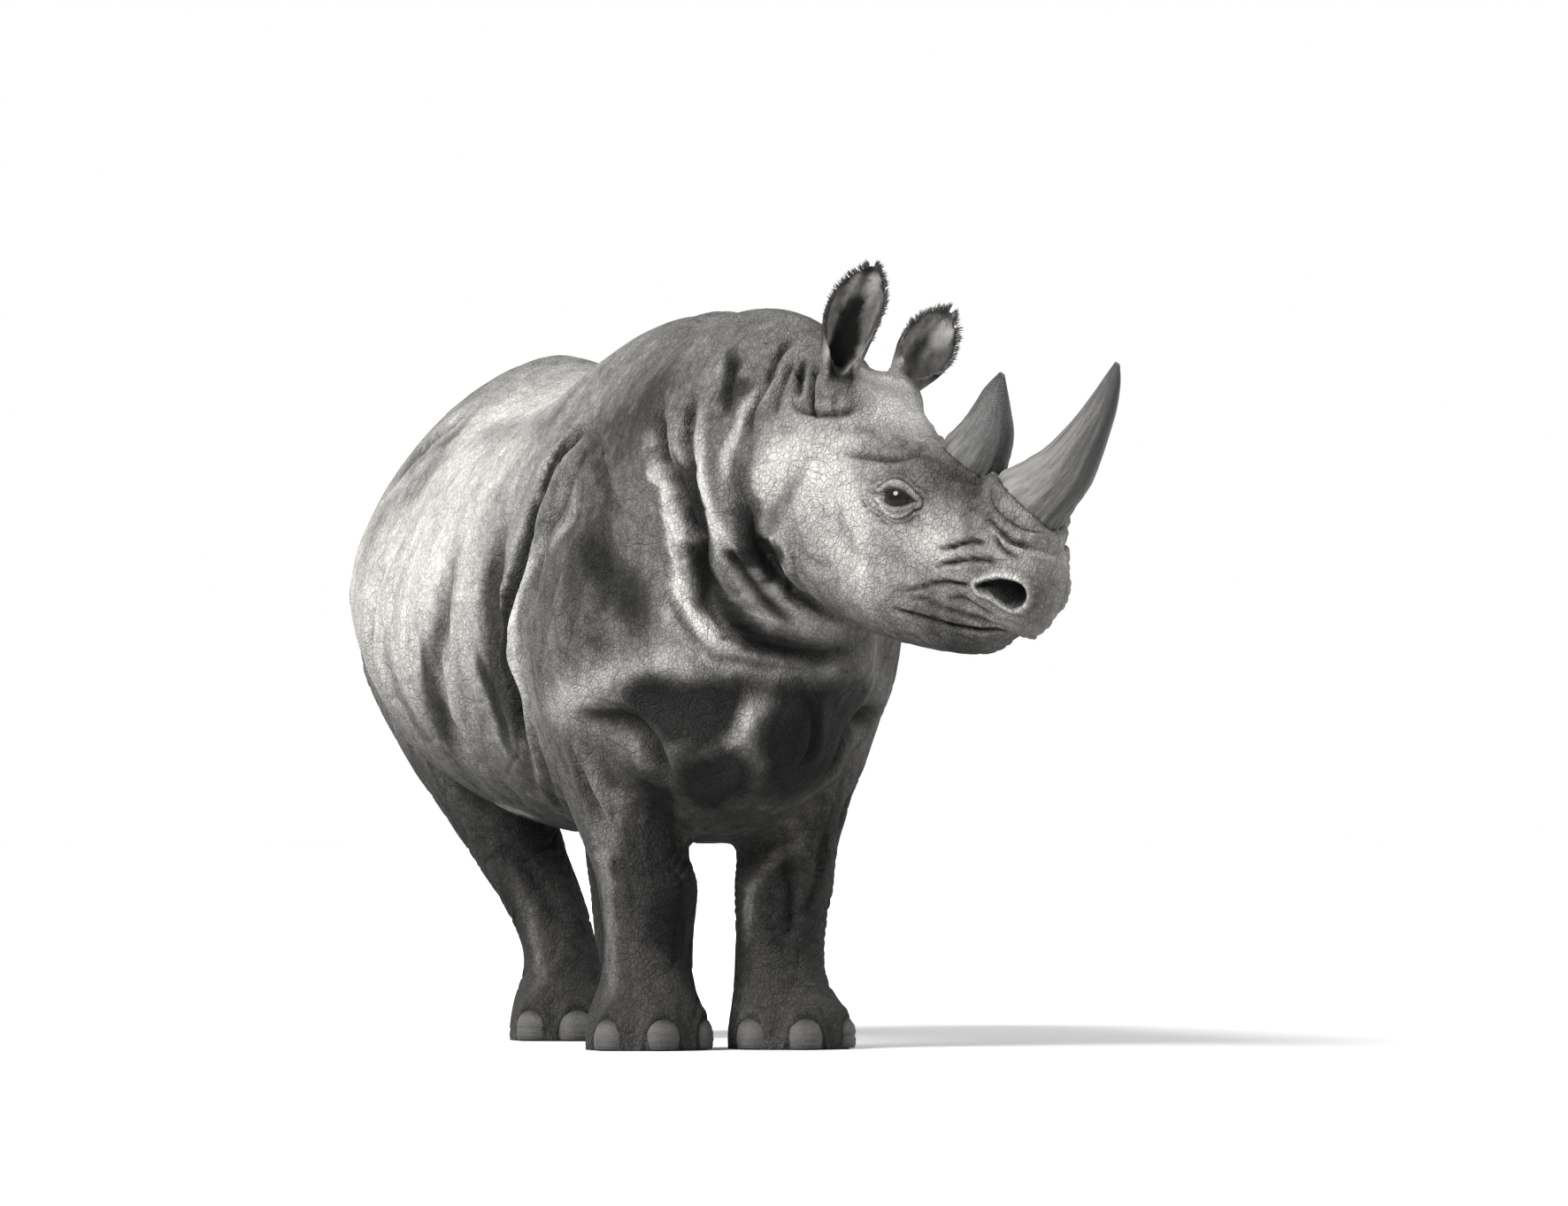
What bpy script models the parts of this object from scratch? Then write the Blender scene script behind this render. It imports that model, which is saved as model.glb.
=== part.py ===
"""Life-size adult black rhinoceros, standing still with its head turned to its left.

The flesh is modelled whole, as lofts of oval sections and a few rounded masses melted into one
surface, and is then parted with thin cuts into head, neck, trunk, tail, legs and feet.
Ears, eyes, horns and toenails are solids of their own, set against the flesh.

Frame: metres, +Z up, the animal faces -Y, its left side is +X.  The plan below is laid out with
y = 0 at the front of the chest, and the finished model is moved so that the middle of its box
stands on the origin.
"""

import math

import bmesh
import bpy
import numpy as np
from mathutils import Matrix, Vector
from mathutils.bvhtree import BVHTree

# ---------------------------------------------------------------- driving sizes
GAP = 0.0003  # clearance between neighbouring solids
MERGE = 0.00005  # points closer than this are one
VOXEL = 0.02  # grain of the melted flesh
SMOOTH_STEPS = 7  # passes that ease the joins of the melted flesh
FLESH_TRIANGLES = 2900

HEAD_YAW = 35.0  # degrees the head is turned to the left
HEAD_PITCH = 40.0  # degrees the head's long axis points below the level
POLL = Vector((0.150, -0.200, 1.440))  # top of the head between the ears

EYE_PLACE = (0.318, -0.062)  # along the head and up from its axis
EYE_RADIUS = 0.034
EYE_DEPTH = 0.018  # how far the eye's middle lies under the skin
NOSTRIL_PLACE = (0.628, -0.060)
NOSTRIL_RADII = (0.034, 0.052, 0.029)  # out, along and up
NOSTRIL_TIP = 32.0  # degrees its front end is raised

EAR_ROOT = (0.018, -0.010, 0.106)  # along, up and out
EAR_REACH = {-1: Vector((0.018, -0.098, 0.264)), 1: Vector((0.160, 0.105, 0.160))}
EAR_FACING = {-1: Vector((-0.15, -0.98, 0.10)), 1: Vector((0.05, -0.95, 0.30))}
EAR_WALL = 0.009
EAR_SINK = 0.045  # length of the ear's root that runs down into the head

HEAD_CUT = ((-0.060, 0.050), (0.116, -0.405))  # the cut behind the head, along and up
HEAD_REGION = (-0.469, 0.500)  # how far the head's part reaches down and up from its axis
NECK_CUT = (Vector((0.0, 0.360, 1.620)), Vector((0.0, -0.020, 0.860)))
FOOT_CUT = 0.135
LEG_MARGIN = 0.022  # how far a leg's cutter stands off the leg
TAIL_CUT = ((2.103, 1.100), (2.060, 1.290))  # back and height of the cut at the tail's root

FRONT_FOOT_X = {-1: -0.158, 1: 0.164}
FRONT_FOOT_Y = 0.41
HIND_FOOT = {-1: Vector((-0.092, 1.275, 0.0)), 1: Vector((0.240, 1.780, 0.0))}
NAIL_TURNS = (-52.0, 0.0, 52.0)  # degrees around the foot from its front
SIDE_NAMES = {-1: "right", 1: "left"}

# Colours of the finishes: linear red, green, blue, then roughness.
FINISHES = {
    "hide": ((0.200, 0.190, 0.178), 0.75),
    "horn": ((0.085, 0.078, 0.070), 0.45),
    "nail": ((0.120, 0.108, 0.095), 0.55),
    "eye": ((0.012, 0.010, 0.009), 0.08),
}


# ---------------------------------------------------------------- frames
def axes_of(yaw, pitch):
    """The frame of something that faces -Y, turned left by yaw and tipped down by pitch.

    Returns its left, forward and up directions.
    """
    turn, tip = math.radians(yaw), math.radians(pitch)
    level = Vector((math.sin(turn), -math.cos(turn), 0.0))
    left = Vector((math.cos(turn), math.sin(turn), 0.0))
    forward = level * math.cos(tip) - Vector((0, 0, math.sin(tip)))
    up = level * math.sin(tip) + Vector((0, 0, math.cos(tip)))
    return left, forward, up


HEAD_LEFT, HEAD_FORWARD, HEAD_UP = axes_of(HEAD_YAW, HEAD_PITCH)


def in_head(along, up, out=0.0):
    """A place given along the head from the poll, up from its axis and out to its left."""
    return POLL + HEAD_FORWARD * along + HEAD_UP * up + HEAD_LEFT * out


def head_matrix(place):
    """Places a shape modelled with x left, y back along the head and z up."""
    turn = Matrix((HEAD_LEFT, -HEAD_FORWARD, HEAD_UP)).transposed()
    return Matrix.Translation(place) @ turn.to_4x4()


# ---------------------------------------------------------------- sections of the flesh
# A section: centre x, y, z, then yaw and pitch of its plane, half width,
# height above the centre, depth below it, and how square it is above and below (2 is an oval).
TRUNK = (
    (0.000, 0.000, 0.90, 0, 0, 0.160, 0.170, 0.200, 2.0, 2.0),
    (0.000, 0.080, 0.93, 0, 0, 0.250, 0.360, 0.360, 2.0, 2.1),
    (0.000, 0.260, 0.98, 0, 0, 0.325, 0.590, 0.505, 1.9, 2.2),
    (0.000, 0.450, 0.99, 0, 0, 0.370, 0.600, 0.545, 1.8, 2.2),
    (0.000, 0.660, 0.97, 0, 0, 0.425, 0.600, 0.520, 1.8, 2.2),
    (0.000, 0.900, 0.94, 0, 0, 0.475, 0.550, 0.490, 1.8, 2.2),
    (0.000, 1.150, 0.93, 0, 0, 0.510, 0.520, 0.470, 1.8, 2.2),
    (0.000, 1.400, 0.95, 0, 0, 0.510, 0.545, 0.440, 1.65, 2.15),
    (0.000, 1.620, 0.98, 0, 0, 0.468, 0.540, 0.395, 1.6, 2.0),
    (0.000, 1.820, 1.00, 0, 0, 0.405, 0.475, 0.350, 1.7, 1.9),
    (0.000, 1.990, 1.01, 0, 0, 0.320, 0.360, 0.290, 2.0, 2.0),
    (0.000, 2.080, 1.01, 0, 0, 0.190, 0.220, 0.180, 2.0, 2.0),
)
NECK = (
    (0.000, 0.420, 1.10, 0, 12, 0.310, 0.475, 0.470, 1.9, 2.0),
    (0.005, 0.200, 1.14, 4, 24, 0.295, 0.500, 0.440, 1.9, 2.0),
    (0.035, 0.050, 1.17, 12, 33, 0.270, 0.400, 0.420, 1.9, 2.0),
    (0.080, -0.070, 1.19, 24, 38, 0.240, 0.310, 0.380, 2.0, 2.0),
    (0.115, -0.160, 1.21, 33, 40, 0.200, 0.225, 0.320, 2.0, 2.0),
)
# The head's sections are given along the head and up from its axis, with its own turn.
SKULL = (
    (-0.045, -0.150, 0.110, 0.110, 0.130, 2.0, 2.0),
    (0.000, -0.145, 0.150, 0.140, 0.160, 2.2, 2.0),
    (0.080, -0.130, 0.172, 0.142, 0.200, 2.4, 2.0),
    (0.180, -0.115, 0.172, 0.120, 0.210, 2.6, 2.0),
    (0.280, -0.105, 0.155, 0.120, 0.190, 2.6, 2.1),
    (0.360, -0.095, 0.133, 0.140, 0.160, 2.5, 2.2),
    (0.450, -0.080, 0.114, 0.155, 0.130, 2.4, 2.2),
    (0.530, -0.068, 0.108, 0.158, 0.110, 2.4, 2.2),
    (0.600, -0.062, 0.105, 0.132, 0.100, 2.4, 2.2),
    (0.652, -0.066, 0.092, 0.096, 0.085, 2.3, 2.2),
    (0.688, -0.074, 0.060, 0.056, 0.058, 2.2, 2.0),
)
JAW = (
    (-0.010, -0.250, 0.110, 0.100, 0.095, 2.0, 2.0),
    (0.080, -0.262, 0.158, 0.120, 0.138, 2.0, 2.1),
    (0.180, -0.268, 0.162, 0.125, 0.156, 2.0, 2.1),
    (0.300, -0.260, 0.140, 0.125, 0.150, 2.0, 2.1),
    (0.420, -0.240, 0.112, 0.105, 0.130, 2.0, 2.2),
    (0.530, -0.208, 0.092, 0.082, 0.100, 2.0, 2.3),
    (0.605, -0.184, 0.076, 0.058, 0.072, 2.0, 2.3),
    (0.645, -0.172, 0.048, 0.034, 0.042, 2.0, 2.0),
)
# Legs are cut level: half width, reach forward and reach back of each cut.
FRONT_LEG = (
    # x beyond the foot's, y behind the foot's, height, half width, forward, back
    (0.095, 0.030, 1.120, 0.110, 0.230, 0.220),
    (0.092, 0.020, 0.950, 0.138, 0.275, 0.260),
    (0.080, 0.040, 0.800, 0.146, 0.260, 0.250),
    (0.055, 0.070, 0.660, 0.136, 0.205, 0.215),
    (0.028, 0.055, 0.530, 0.117, 0.150, 0.170),
    (0.006, 0.020, 0.420, 0.107, 0.122, 0.130),
    (-0.008, 0.000, 0.350, 0.107, 0.120, 0.112),
    (-0.012, 0.010, 0.240, 0.096, 0.102, 0.108),
    (-0.010, 0.012, 0.150, 0.100, 0.106, 0.114),
    (0.000, 0.000, 0.085, 0.122, 0.132, 0.122),
    (0.000, -0.004, 0.030, 0.130, 0.142, 0.128),
    (0.000, -0.004, -0.030, 0.128, 0.140, 0.126),
)
HIND_LEG = {
    # x beyond the foot's, y behind the foot's, height, half width, forward, back
    -1: (
        (0.170, 0.440, 1.130, 0.120, 0.270, 0.260),
        (0.170, 0.410, 0.950, 0.150, 0.340, 0.330),
        (0.152, 0.365, 0.780, 0.155, 0.300, 0.320),
        (0.112, 0.305, 0.620, 0.138, 0.235, 0.240),
        (0.074, 0.240, 0.500, 0.118, 0.180, 0.178),
        (0.042, 0.180, 0.400, 0.102, 0.148, 0.150),
        (0.004, 0.110, 0.290, 0.087, 0.124, 0.118),
        (-0.014, 0.042, 0.180, 0.083, 0.106, 0.106),
        (-0.004, 0.012, 0.095, 0.103, 0.118, 0.108),
        (0.000, 0.000, 0.030, 0.115, 0.128, 0.114),
        (0.000, 0.000, -0.030, 0.113, 0.126, 0.112),
    ),
    1: (
        (0.040, -0.060, 1.130, 0.120, 0.260, 0.240),
        (0.040, -0.060, 0.950, 0.150, 0.340, 0.330),
        (0.035, -0.035, 0.780, 0.155, 0.320, 0.310),
        (0.030, 0.030, 0.630, 0.138, 0.260, 0.225),
        (0.022, 0.090, 0.510, 0.116, 0.195, 0.160),
        (0.012, 0.115, 0.420, 0.099, 0.145, 0.142),
        (0.006, 0.095, 0.300, 0.089, 0.108, 0.108),
        (0.002, 0.050, 0.180, 0.090, 0.102, 0.104),
        (0.000, 0.015, 0.095, 0.107, 0.118, 0.108),
        (0.000, 0.000, 0.030, 0.115, 0.128, 0.114),
        (0.000, 0.000, -0.030, 0.113, 0.126, 0.112),
    ),
}
TAIL = (
    # x, y, z, half width, half thickness
    (0.000, 1.980, 1.240, 0.060, 0.060),
    (0.000, 2.080, 1.200, 0.048, 0.046),
    (0.000, 2.135, 1.090, 0.036, 0.034),
    (0.004, 2.150, 0.940, 0.027, 0.025),
    (0.010, 2.145, 0.790, 0.022, 0.020),
    (0.014, 2.135, 0.680, 0.026, 0.018),
    (0.016, 2.130, 0.600, 0.024, 0.015),
    (0.016, 2.128, 0.550, 0.010, 0.008),
)
# Rounded masses on the head: along, up, out, then radii out, along and up.  Out repeats at -out.
HEAD_MASSES = (
    (0.300, -0.010, 0.102, 0.045, 0.080, 0.045),  # brow over the eye
    (0.322, -0.070, 0.118, 0.036, 0.062, 0.050),  # mound of the lids
    (0.110, -0.180, 0.085, 0.085, 0.140, 0.140),  # cheek muscle
    (0.605, -0.062, 0.062, 0.052, 0.066, 0.056),  # nostril wing
    (0.035, -0.020, 0.085, 0.065, 0.070, 0.055),  # root of the ear
    (0.510, 0.070, 0.025, 0.066, 0.095, 0.045),  # seat of the front horn
    (0.345, 0.030, 0.020, 0.062, 0.090, 0.040),  # seat of the rear horn
    (0.672, -0.092, 0.000, 0.052, 0.040, 0.054),  # tip of the upper lip
)


# Horns: along, up, half width, half length of each cut.
HORNS = {
    "horn_front": (
        (0.508, 0.030, 0.070, 0.085),
        (0.509, 0.100, 0.066, 0.085),
        (0.522, 0.150, 0.058, 0.078),
        (0.536, 0.210, 0.049, 0.066),
        (0.536, 0.270, 0.041, 0.053),
        (0.532, 0.320, 0.033, 0.043),
        (0.524, 0.375, 0.025, 0.033),
        (0.511, 0.425, 0.016, 0.020),
        (0.498, 0.458, 0.006, 0.007),
    ),
    "horn_rear": (
        (0.333, 0.005, 0.060, 0.074),
        (0.334, 0.080, 0.055, 0.073),
        (0.329, 0.130, 0.046, 0.065),
        (0.319, 0.165, 0.036, 0.056),
        (0.302, 0.195, 0.027, 0.041),
        (0.288, 0.222, 0.017, 0.024),
        (0.276, 0.247, 0.006, 0.007),
    ),
}
# The ear: share of its length from the head, half width, half depth, bow to the back.
EAR = (
    (0.00, 0.036, 0.036, 0.000),
    (0.16, 0.040, 0.040, 0.006),
    (0.32, 0.050, 0.040, 0.014),
    (0.48, 0.060, 0.036, 0.018),
    (0.64, 0.063, 0.030, 0.017),
    (0.78, 0.055, 0.023, 0.011),
    (0.90, 0.036, 0.015, 0.003),
    (0.97, 0.016, 0.009, -0.004),
    (1.00, 0.005, 0.005, -0.008),
)
# A toenail: height, half width, half thickness.
NAIL = (
    (0.004, 0.036, 0.020),
    (0.024, 0.039, 0.021),
    (0.046, 0.037, 0.019),
    (0.064, 0.028, 0.015),
    (0.076, 0.012, 0.010),
)
# Height where each leg ends inside the trunk, and the dome over it: share of width, and rise.
LEG_TOPS = {"foreleg": 0.780, "hindleg": 0.860}
DOME = ((0.30, 0.060), (0.70, 0.040), (0.92, 0.018))


# ---------------------------------------------------------------- surfaces
def eased_stations(stations, per_span):
    """Passes a smooth curve through the rows of a table, giving per_span rows for each span."""
    table = np.array(stations, float)
    ends = np.vstack([2 * table[0] - table[1], table, 2 * table[-1] - table[-2]])
    rows = []
    for first in range(len(table) - 1):
        a, b, c, d = ends[first : first + 4]
        for t in np.arange(per_span) / per_span:
            bend = b + 0.5 * t * (c - a)
            bend += 0.5 * t * t * (2 * a - 5 * b + 4 * c - d)
            rows.append(bend + 0.5 * t**3 * (3 * b - a - 3 * c + d))
    return np.array(rows + [table[-1]])


def oval(width, up, down, square_up, square_down, around):
    """Points of an oval whose upper and lower halves differ in height and squareness."""
    angle = np.arange(around) * 2 * math.pi / around
    c, s = np.cos(angle), np.sin(angle)
    power = 2.0 / np.where(s >= 0, square_up, square_down)
    across = width * np.sign(c) * np.abs(c) ** power
    rise = np.where(s >= 0, up, down) * np.sign(s) * np.abs(s) ** power
    return across, rise


def loft(sections, around=28, per_span=4):
    """A closed skin over sections: oval rings joined by quads, with a rounded point at each end."""
    rings = []
    for x, y, z, yaw, pitch, width, up, down, square_up, square_down in eased_stations(
        sections, per_span
    ):
        left, _, top = axes_of(yaw, pitch)
        across, rise = oval(width, up, down, square_up, square_down, around)
        rings.append(
            np.array((x, y, z)) + np.outer(across, left) + np.outer(rise, top)
        )
    count = len(rings)
    points = np.vstack(rings)
    points = np.vstack([points, rings[0].mean(0), rings[-1].mean(0)])
    ring, step = np.meshgrid(np.arange(count - 1), np.arange(around), indexing="ij")
    after = (step + 1) % around
    quads = np.stack(
        [ring * around + step, ring * around + after,
         (ring + 1) * around + after, (ring + 1) * around + step], axis=-1
    ).reshape(-1, 4)
    faces = quads.tolist()
    last = (count - 1) * around
    for one in range(around):
        two = (one + 1) % around
        faces.append([count * around, two, one])
        faces.append([count * around + 1, last + one, last + two])
    return points, faces


def mesh_object(name, points, faces, collection):
    """An object of these points and faces, with its faces turned outwards."""
    mesh = bpy.data.meshes.new(name)
    mesh.from_pydata([tuple(p) for p in points], [], faces)
    shape = bmesh.new()
    shape.from_mesh(mesh)
    bmesh.ops.recalc_face_normals(shape, faces=shape.faces)
    shape.to_mesh(mesh)
    shape.free()
    made = bpy.data.objects.new(name, mesh)
    collection.objects.link(made)
    return made


def ball(name, place, radii, collection, segments=20, rings=12):
    """An ellipsoid with its radii out, along and up in the head's frame."""
    shape = bmesh.new()
    bmesh.ops.create_uvsphere(shape, u_segments=segments, v_segments=rings, radius=1.0)
    bmesh.ops.transform(
        shape,
        matrix=head_matrix(place) @ Matrix.Diagonal((*radii, 1.0)),
        verts=shape.verts,
    )
    mesh = bpy.data.meshes.new(name)
    shape.to_mesh(mesh)
    shape.free()
    made = bpy.data.objects.new(name, mesh)
    collection.objects.link(made)
    return made


def head_sections(table):
    """Rows of a head table as full sections in the model's frame."""
    rows = []
    for along, middle, width, up, down, square_up, square_down in table:
        centre = in_head(along, middle)
        rows.append((*centre, HEAD_YAW, HEAD_PITCH, width, up, down, square_up, square_down))
    return rows


def leg_sections(table, foot_x, foot_y, side):
    """Rows of a leg table as full sections: level cuts that face down the leg."""
    return [
        (foot_x + side * out, foot_y + back, height, 0, 90, width, forward, behind, 2.2, 2.2)
        for out, back, height, width, forward, behind in table
    ]


def leg_plans():
    """Each leg's sections, its kind, its side and the middle of its foot."""
    for side in SIDE_NAMES:
        fore = Vector((FRONT_FOOT_X[side], FRONT_FOOT_Y, 0.0))
        hind = HIND_FOOT[side]
        yield leg_sections(FRONT_LEG, fore.x, fore.y, side), "foreleg", side, fore
        yield leg_sections(HIND_LEG[side], hind.x, hind.y, side), "hindleg", side, hind


def tail_sections():
    """The tail's rows as level sections."""
    return [(x, y, z, 0, 75, wide, thick, thick, 2, 2) for x, y, z, wide, thick in TAIL]


# ---------------------------------------------------------------- the whole flesh
def flesh_pieces(collection):
    """The overlapping lofts and masses that melt into the animal's flesh."""
    pieces = [
        ("trunk_mass", TRUNK, 40),
        ("neck_mass", NECK, 36),
        ("skull_mass", head_sections(SKULL), 32),
        ("jaw_mass", head_sections(JAW), 28),
        ("tail_mass", tail_sections(), 16),
    ]
    for rows, kind, side, _ in leg_plans():
        pieces.append((f"{kind}_mass_{SIDE_NAMES[side]}", rows, 24))
    made = [
        mesh_object(name, *loft(rows, around), collection)
        for name, rows, around in pieces
    ]
    for number, (along, up, out, *radii) in enumerate(HEAD_MASSES):
        for side in (-1, 1):
            name = f"head_mass_{number}_{SIDE_NAMES[side]}"
            made.append(ball(name, in_head(along, up, side * out), radii, collection))
    return made


def joined(pieces, name):
    """One object that holds all the pieces' meshes."""
    shape = bmesh.new()
    for piece in pieces:
        shape.from_mesh(piece.data)
        bpy.data.objects.remove(piece)
    mesh = bpy.data.meshes.new(name)
    shape.to_mesh(mesh)
    shape.free()
    return bpy.data.objects.new(name, mesh)


def settled(obj):
    """Replaces an object's modifiers by the mesh that they give."""
    graph = bpy.context.evaluated_depsgraph_get()
    mesh = bpy.data.meshes.new_from_object(obj.evaluated_get(graph))
    obj.modifiers.clear()
    obj.data = mesh
    return obj


def whole_flesh(collection):
    """The animal's flesh as one closed, softened and thinned surface."""
    whole = joined(flesh_pieces(collection), "trunk")
    collection.objects.link(whole)
    melt = whole.modifiers.new("melt", "REMESH")
    melt.mode = "VOXEL"
    melt.voxel_size = VOXEL
    soften = whole.modifiers.new("soften", "SMOOTH")
    soften.factor = 0.5
    soften.iterations = SMOOTH_STEPS
    settled(whole)
    whole.data.calc_loop_triangles()
    thin = whole.modifiers.new("thin", "DECIMATE")
    thin.ratio = FLESH_TRIANGLES / len(whole.data.loop_triangles)
    return settled(whole)


# ---------------------------------------------------------------- tools for parting
def collected(name, is_cutter):
    """A new collection; that of the cutters is kept out of renders."""
    made = bpy.data.collections.new(name)
    made.hide_render = is_cutter
    bpy.context.scene.collection.children.link(made)
    return made


def as_cutter(obj):
    """Marks an object as a cutter: drawn as wires and left out of renders."""
    obj.hide_render = True
    obj.display_type = "WIRE"
    return obj


def copy_of(obj, name, collection):
    """A copy with its own mesh."""
    made = bpy.data.objects.new(name, obj.data.copy())
    collection.objects.link(made)
    return made


def cut(obj, tool, operation="DIFFERENCE"):
    """Applies an exact Boolean with the tool, merges the points left on one spot, and triangulates."""
    step = obj.modifiers.new("cut", "BOOLEAN")
    step.object = tool
    step.operation = operation
    step.solver = "EXACT"
    settled(obj)
    shape = bmesh.new()
    shape.from_mesh(obj.data)
    bmesh.ops.remove_doubles(shape, verts=shape.verts, dist=MERGE)
    bmesh.ops.dissolve_degenerate(shape, edges=shape.edges, dist=MERGE)
    bmesh.ops.triangulate(shape, faces=shape.faces)
    shape.to_mesh(obj.data)
    shape.free()
    return obj


def half_space(point, normal, cutters):
    """A great box that fills the side of a plane its normal points to."""
    shape = bmesh.new()
    bmesh.ops.create_cube(shape, size=8.0)
    turn = normal.to_track_quat("Z", "Y").to_matrix().to_4x4()
    place = Matrix.Translation(point + normal * 4.0) @ turn
    bmesh.ops.transform(shape, matrix=place, verts=shape.verts)
    mesh = bpy.data.meshes.new("half_space")
    shape.to_mesh(mesh)
    shape.free()
    made = bpy.data.objects.new("half_space", mesh)
    cutters.objects.link(made)
    return as_cutter(made)


def parted(source, name, point, normal, model, cutters):
    """Cuts off the part of a solid on the normal's side of a plane, and leaves a thin gap."""
    piece = copy_of(source, name, model)
    step = normal * GAP / 2
    cut(piece, half_space(point + step, normal, cutters), "INTERSECT")
    cut(source, half_space(point - step, -normal, cutters), "INTERSECT")
    return piece


def prism(outline, place, half_width, cutters):
    """A solid between two copies of a four-cornered outline, set by a placing function."""
    points = [place(one, two, side * half_width) for side in (-1, 1) for one, two in outline]
    faces = [(0, 1, 2, 3), (7, 6, 5, 4)]
    faces += [(n, (n + 1) % 4, (n + 1) % 4 + 4, n + 4) for n in range(4)]
    return as_cutter(mesh_object("prism", points, faces, cutters))


def head_cutter(growth, cutters):
    """The region of the head, in front of the cut behind the ears and jowls, grown a little."""
    (top_along, top_up), (low_along, low_up) = HEAD_CUT
    slope = (top_along - low_along) / (top_up - low_up)
    low, high = HEAD_REGION
    drop = low - growth
    back = top_along - growth * 1.1
    outline = (
        (back + slope * (drop - top_up), drop),
        (1.000, drop),
        (1.000, high),
        (back + slope * (high - top_up), high),
    )
    return prism(outline, in_head, 0.5, cutters)


def tail_cutter(growth, cutters):
    """The region of the tail, behind the rump, grown a little; it cuts only the tail's root."""
    (low_y, low_z), (high_y, high_z) = TAIL_CUT
    outline = (
        (low_y - growth * 1.1, low_z - 0.9),
        (low_y - growth * 1.1, low_z),
        (high_y - growth * 1.1, high_z),
        (high_y + 0.6, high_z),
    )
    return prism(outline, lambda y, z, x: Vector((x, y, z)), 0.12 + growth, cutters)


def leg_cutter(rows, top, margin, cutters):
    """A leg's own loft, standing off it by the margin and ended by a dome inside the trunk."""
    table = np.array(rows, float)
    heights = table[::-1, 2]
    crown = [np.interp(top, heights, column) for column in table[::-1].T]
    grown = []
    for share, rise in (*DOME, (1.0, 0.0)):
        row = np.array(crown)
        row[2] += rise + margin
        row[5:8] = row[5:8] * share + margin
        grown.append(row)
    for row in table[table[:, 2] < top - 0.01]:
        lower = np.array(row)
        lower[5:8] += margin
        grown.append(lower)
    return as_cutter(mesh_object("leg_cutter", *loft(grown, 10, 1), cutters))


def skin_tree(flesh):
    """A search tree over the flesh, to find places on its skin."""
    shape = bmesh.new()
    shape.from_mesh(flesh.data)
    tree = BVHTree.FromBMesh(shape)
    shape.free()
    return tree


def on_skin(tree, place, towards):
    """Where a ray from the place first meets the skin, and the skin's normal there."""
    hit, normal, _, _ = tree.ray_cast(place, towards)
    return hit, normal


# ---------------------------------------------------------------- features of the head
def horn(name, clear, model):
    """A horn lofted from its cuts, seated against the skin."""
    rows = [(0, -along, up, 0, 90, wide, reach, reach, 2, 2) for along, up, wide, reach in HORNS[name]]
    made = mesh_object(name, *loft(rows, 12, 1), model)
    made.data.transform(head_matrix(POLL))
    return cut(made, clear)


def ear_frame(side):
    """The root of an ear, its length, and the matrix of its frame: z along it, y to its back."""
    along, up, out = EAR_ROOT
    root = in_head(along, up, side * out)
    reach = EAR_REACH[side]
    axis = reach.normalized()
    facing = EAR_FACING[side] - axis * EAR_FACING[side].dot(axis)
    back = -facing.normalized()
    turn = Matrix((back.cross(axis), back, axis)).transposed()
    return reach.length, Matrix.Translation(root) @ turn.to_4x4()


def ear(side, clear, model, cutters):
    """An ear: a tube at its root that opens into a cup, with a rounded point."""
    length, frame = ear_frame(side)
    outer = [(0, 0, -EAR_SINK, 0, 90, EAR[0][1], EAR[0][2], EAR[0][2], 2, 2)]
    inner = []
    for share, wide, deep, bow in EAR:
        outer.append((0, bow, share * length, 0, 90, wide, deep, deep, 2, 2))
        if 0.1 < share < 0.95:
            opening = np.interp(share, (0.16, 0.40), (-0.014, 0.020))
            narrow = min(wide - EAR_WALL * 0.9, 0.02 + share * 0.1)
            forward = deep + EAR_WALL + opening
            middle = bow - EAR_WALL
            inner.append((0, middle, share * length, 0, 90, narrow, forward, deep, 2, 2))
    made = mesh_object(f"ear_{SIDE_NAMES[side]}", *loft(outer, 10, 1), model)
    cup = as_cutter(mesh_object("ear_cup", *loft(inner, 10, 1), cutters))
    made.data.transform(frame)
    cup.data.transform(frame)
    cut(made, cup)
    return cut(made, clear)


def eye(side, tree, head, model, cutters):
    """An eyeball, and the socket that it sits in."""
    along, up = EYE_PLACE
    skin, normal = on_skin(tree, in_head(along, up, side * 0.5), -side * HEAD_LEFT)
    middle = skin - normal * EYE_DEPTH
    radii, room = [EYE_RADIUS] * 3, [EYE_RADIUS + GAP] * 3
    cut(head, as_cutter(ball("socket", middle, room, cutters, 14, 8)))
    return ball(f"eye_{SIDE_NAMES[side]}", middle, radii, model, 14, 8)


def carve_nostril(side, tree, head, cutters):
    """Hollows out a nostril, with its front end raised."""
    along, up = NOSTRIL_PLACE
    skin, _ = on_skin(tree, in_head(along, up, side * 0.5), -side * HEAD_LEFT)
    hollow = as_cutter(ball("nostril", Vector(), NOSTRIL_RADII, cutters, 10, 7))
    hollow.data.transform(head_matrix(POLL).inverted() @ Matrix.Translation(POLL))
    hollow.data.transform(Matrix.Rotation(math.radians(-NOSTRIL_TIP), 4, "X"))
    hollow.data.transform(head_matrix(skin))
    cut(head, hollow)


def toenails(foot_name, middle, tree, clear, model):
    """Three nails around the front of a foot, each following the foot's own outline."""
    made = []
    for number, turn in enumerate(NAIL_TURNS, 1):
        _, _, outward = axes_of(turn, 90)
        rows = []
        for height, wide, thick in NAIL:
            start = Vector((middle.x, middle.y, height)) + outward * 0.5
            skin, _ = on_skin(tree, start, -outward)
            x, y, z = skin - outward * thick * 0.4
            rows.append((x, y, z, turn, 90, wide, thick, thick, 2.4, 2))
        nail = mesh_object(f"nail_{foot_name}_{number}", *loft(rows, 8, 1), model)
        made.append(cut(nail, clear))
    return made


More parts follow.
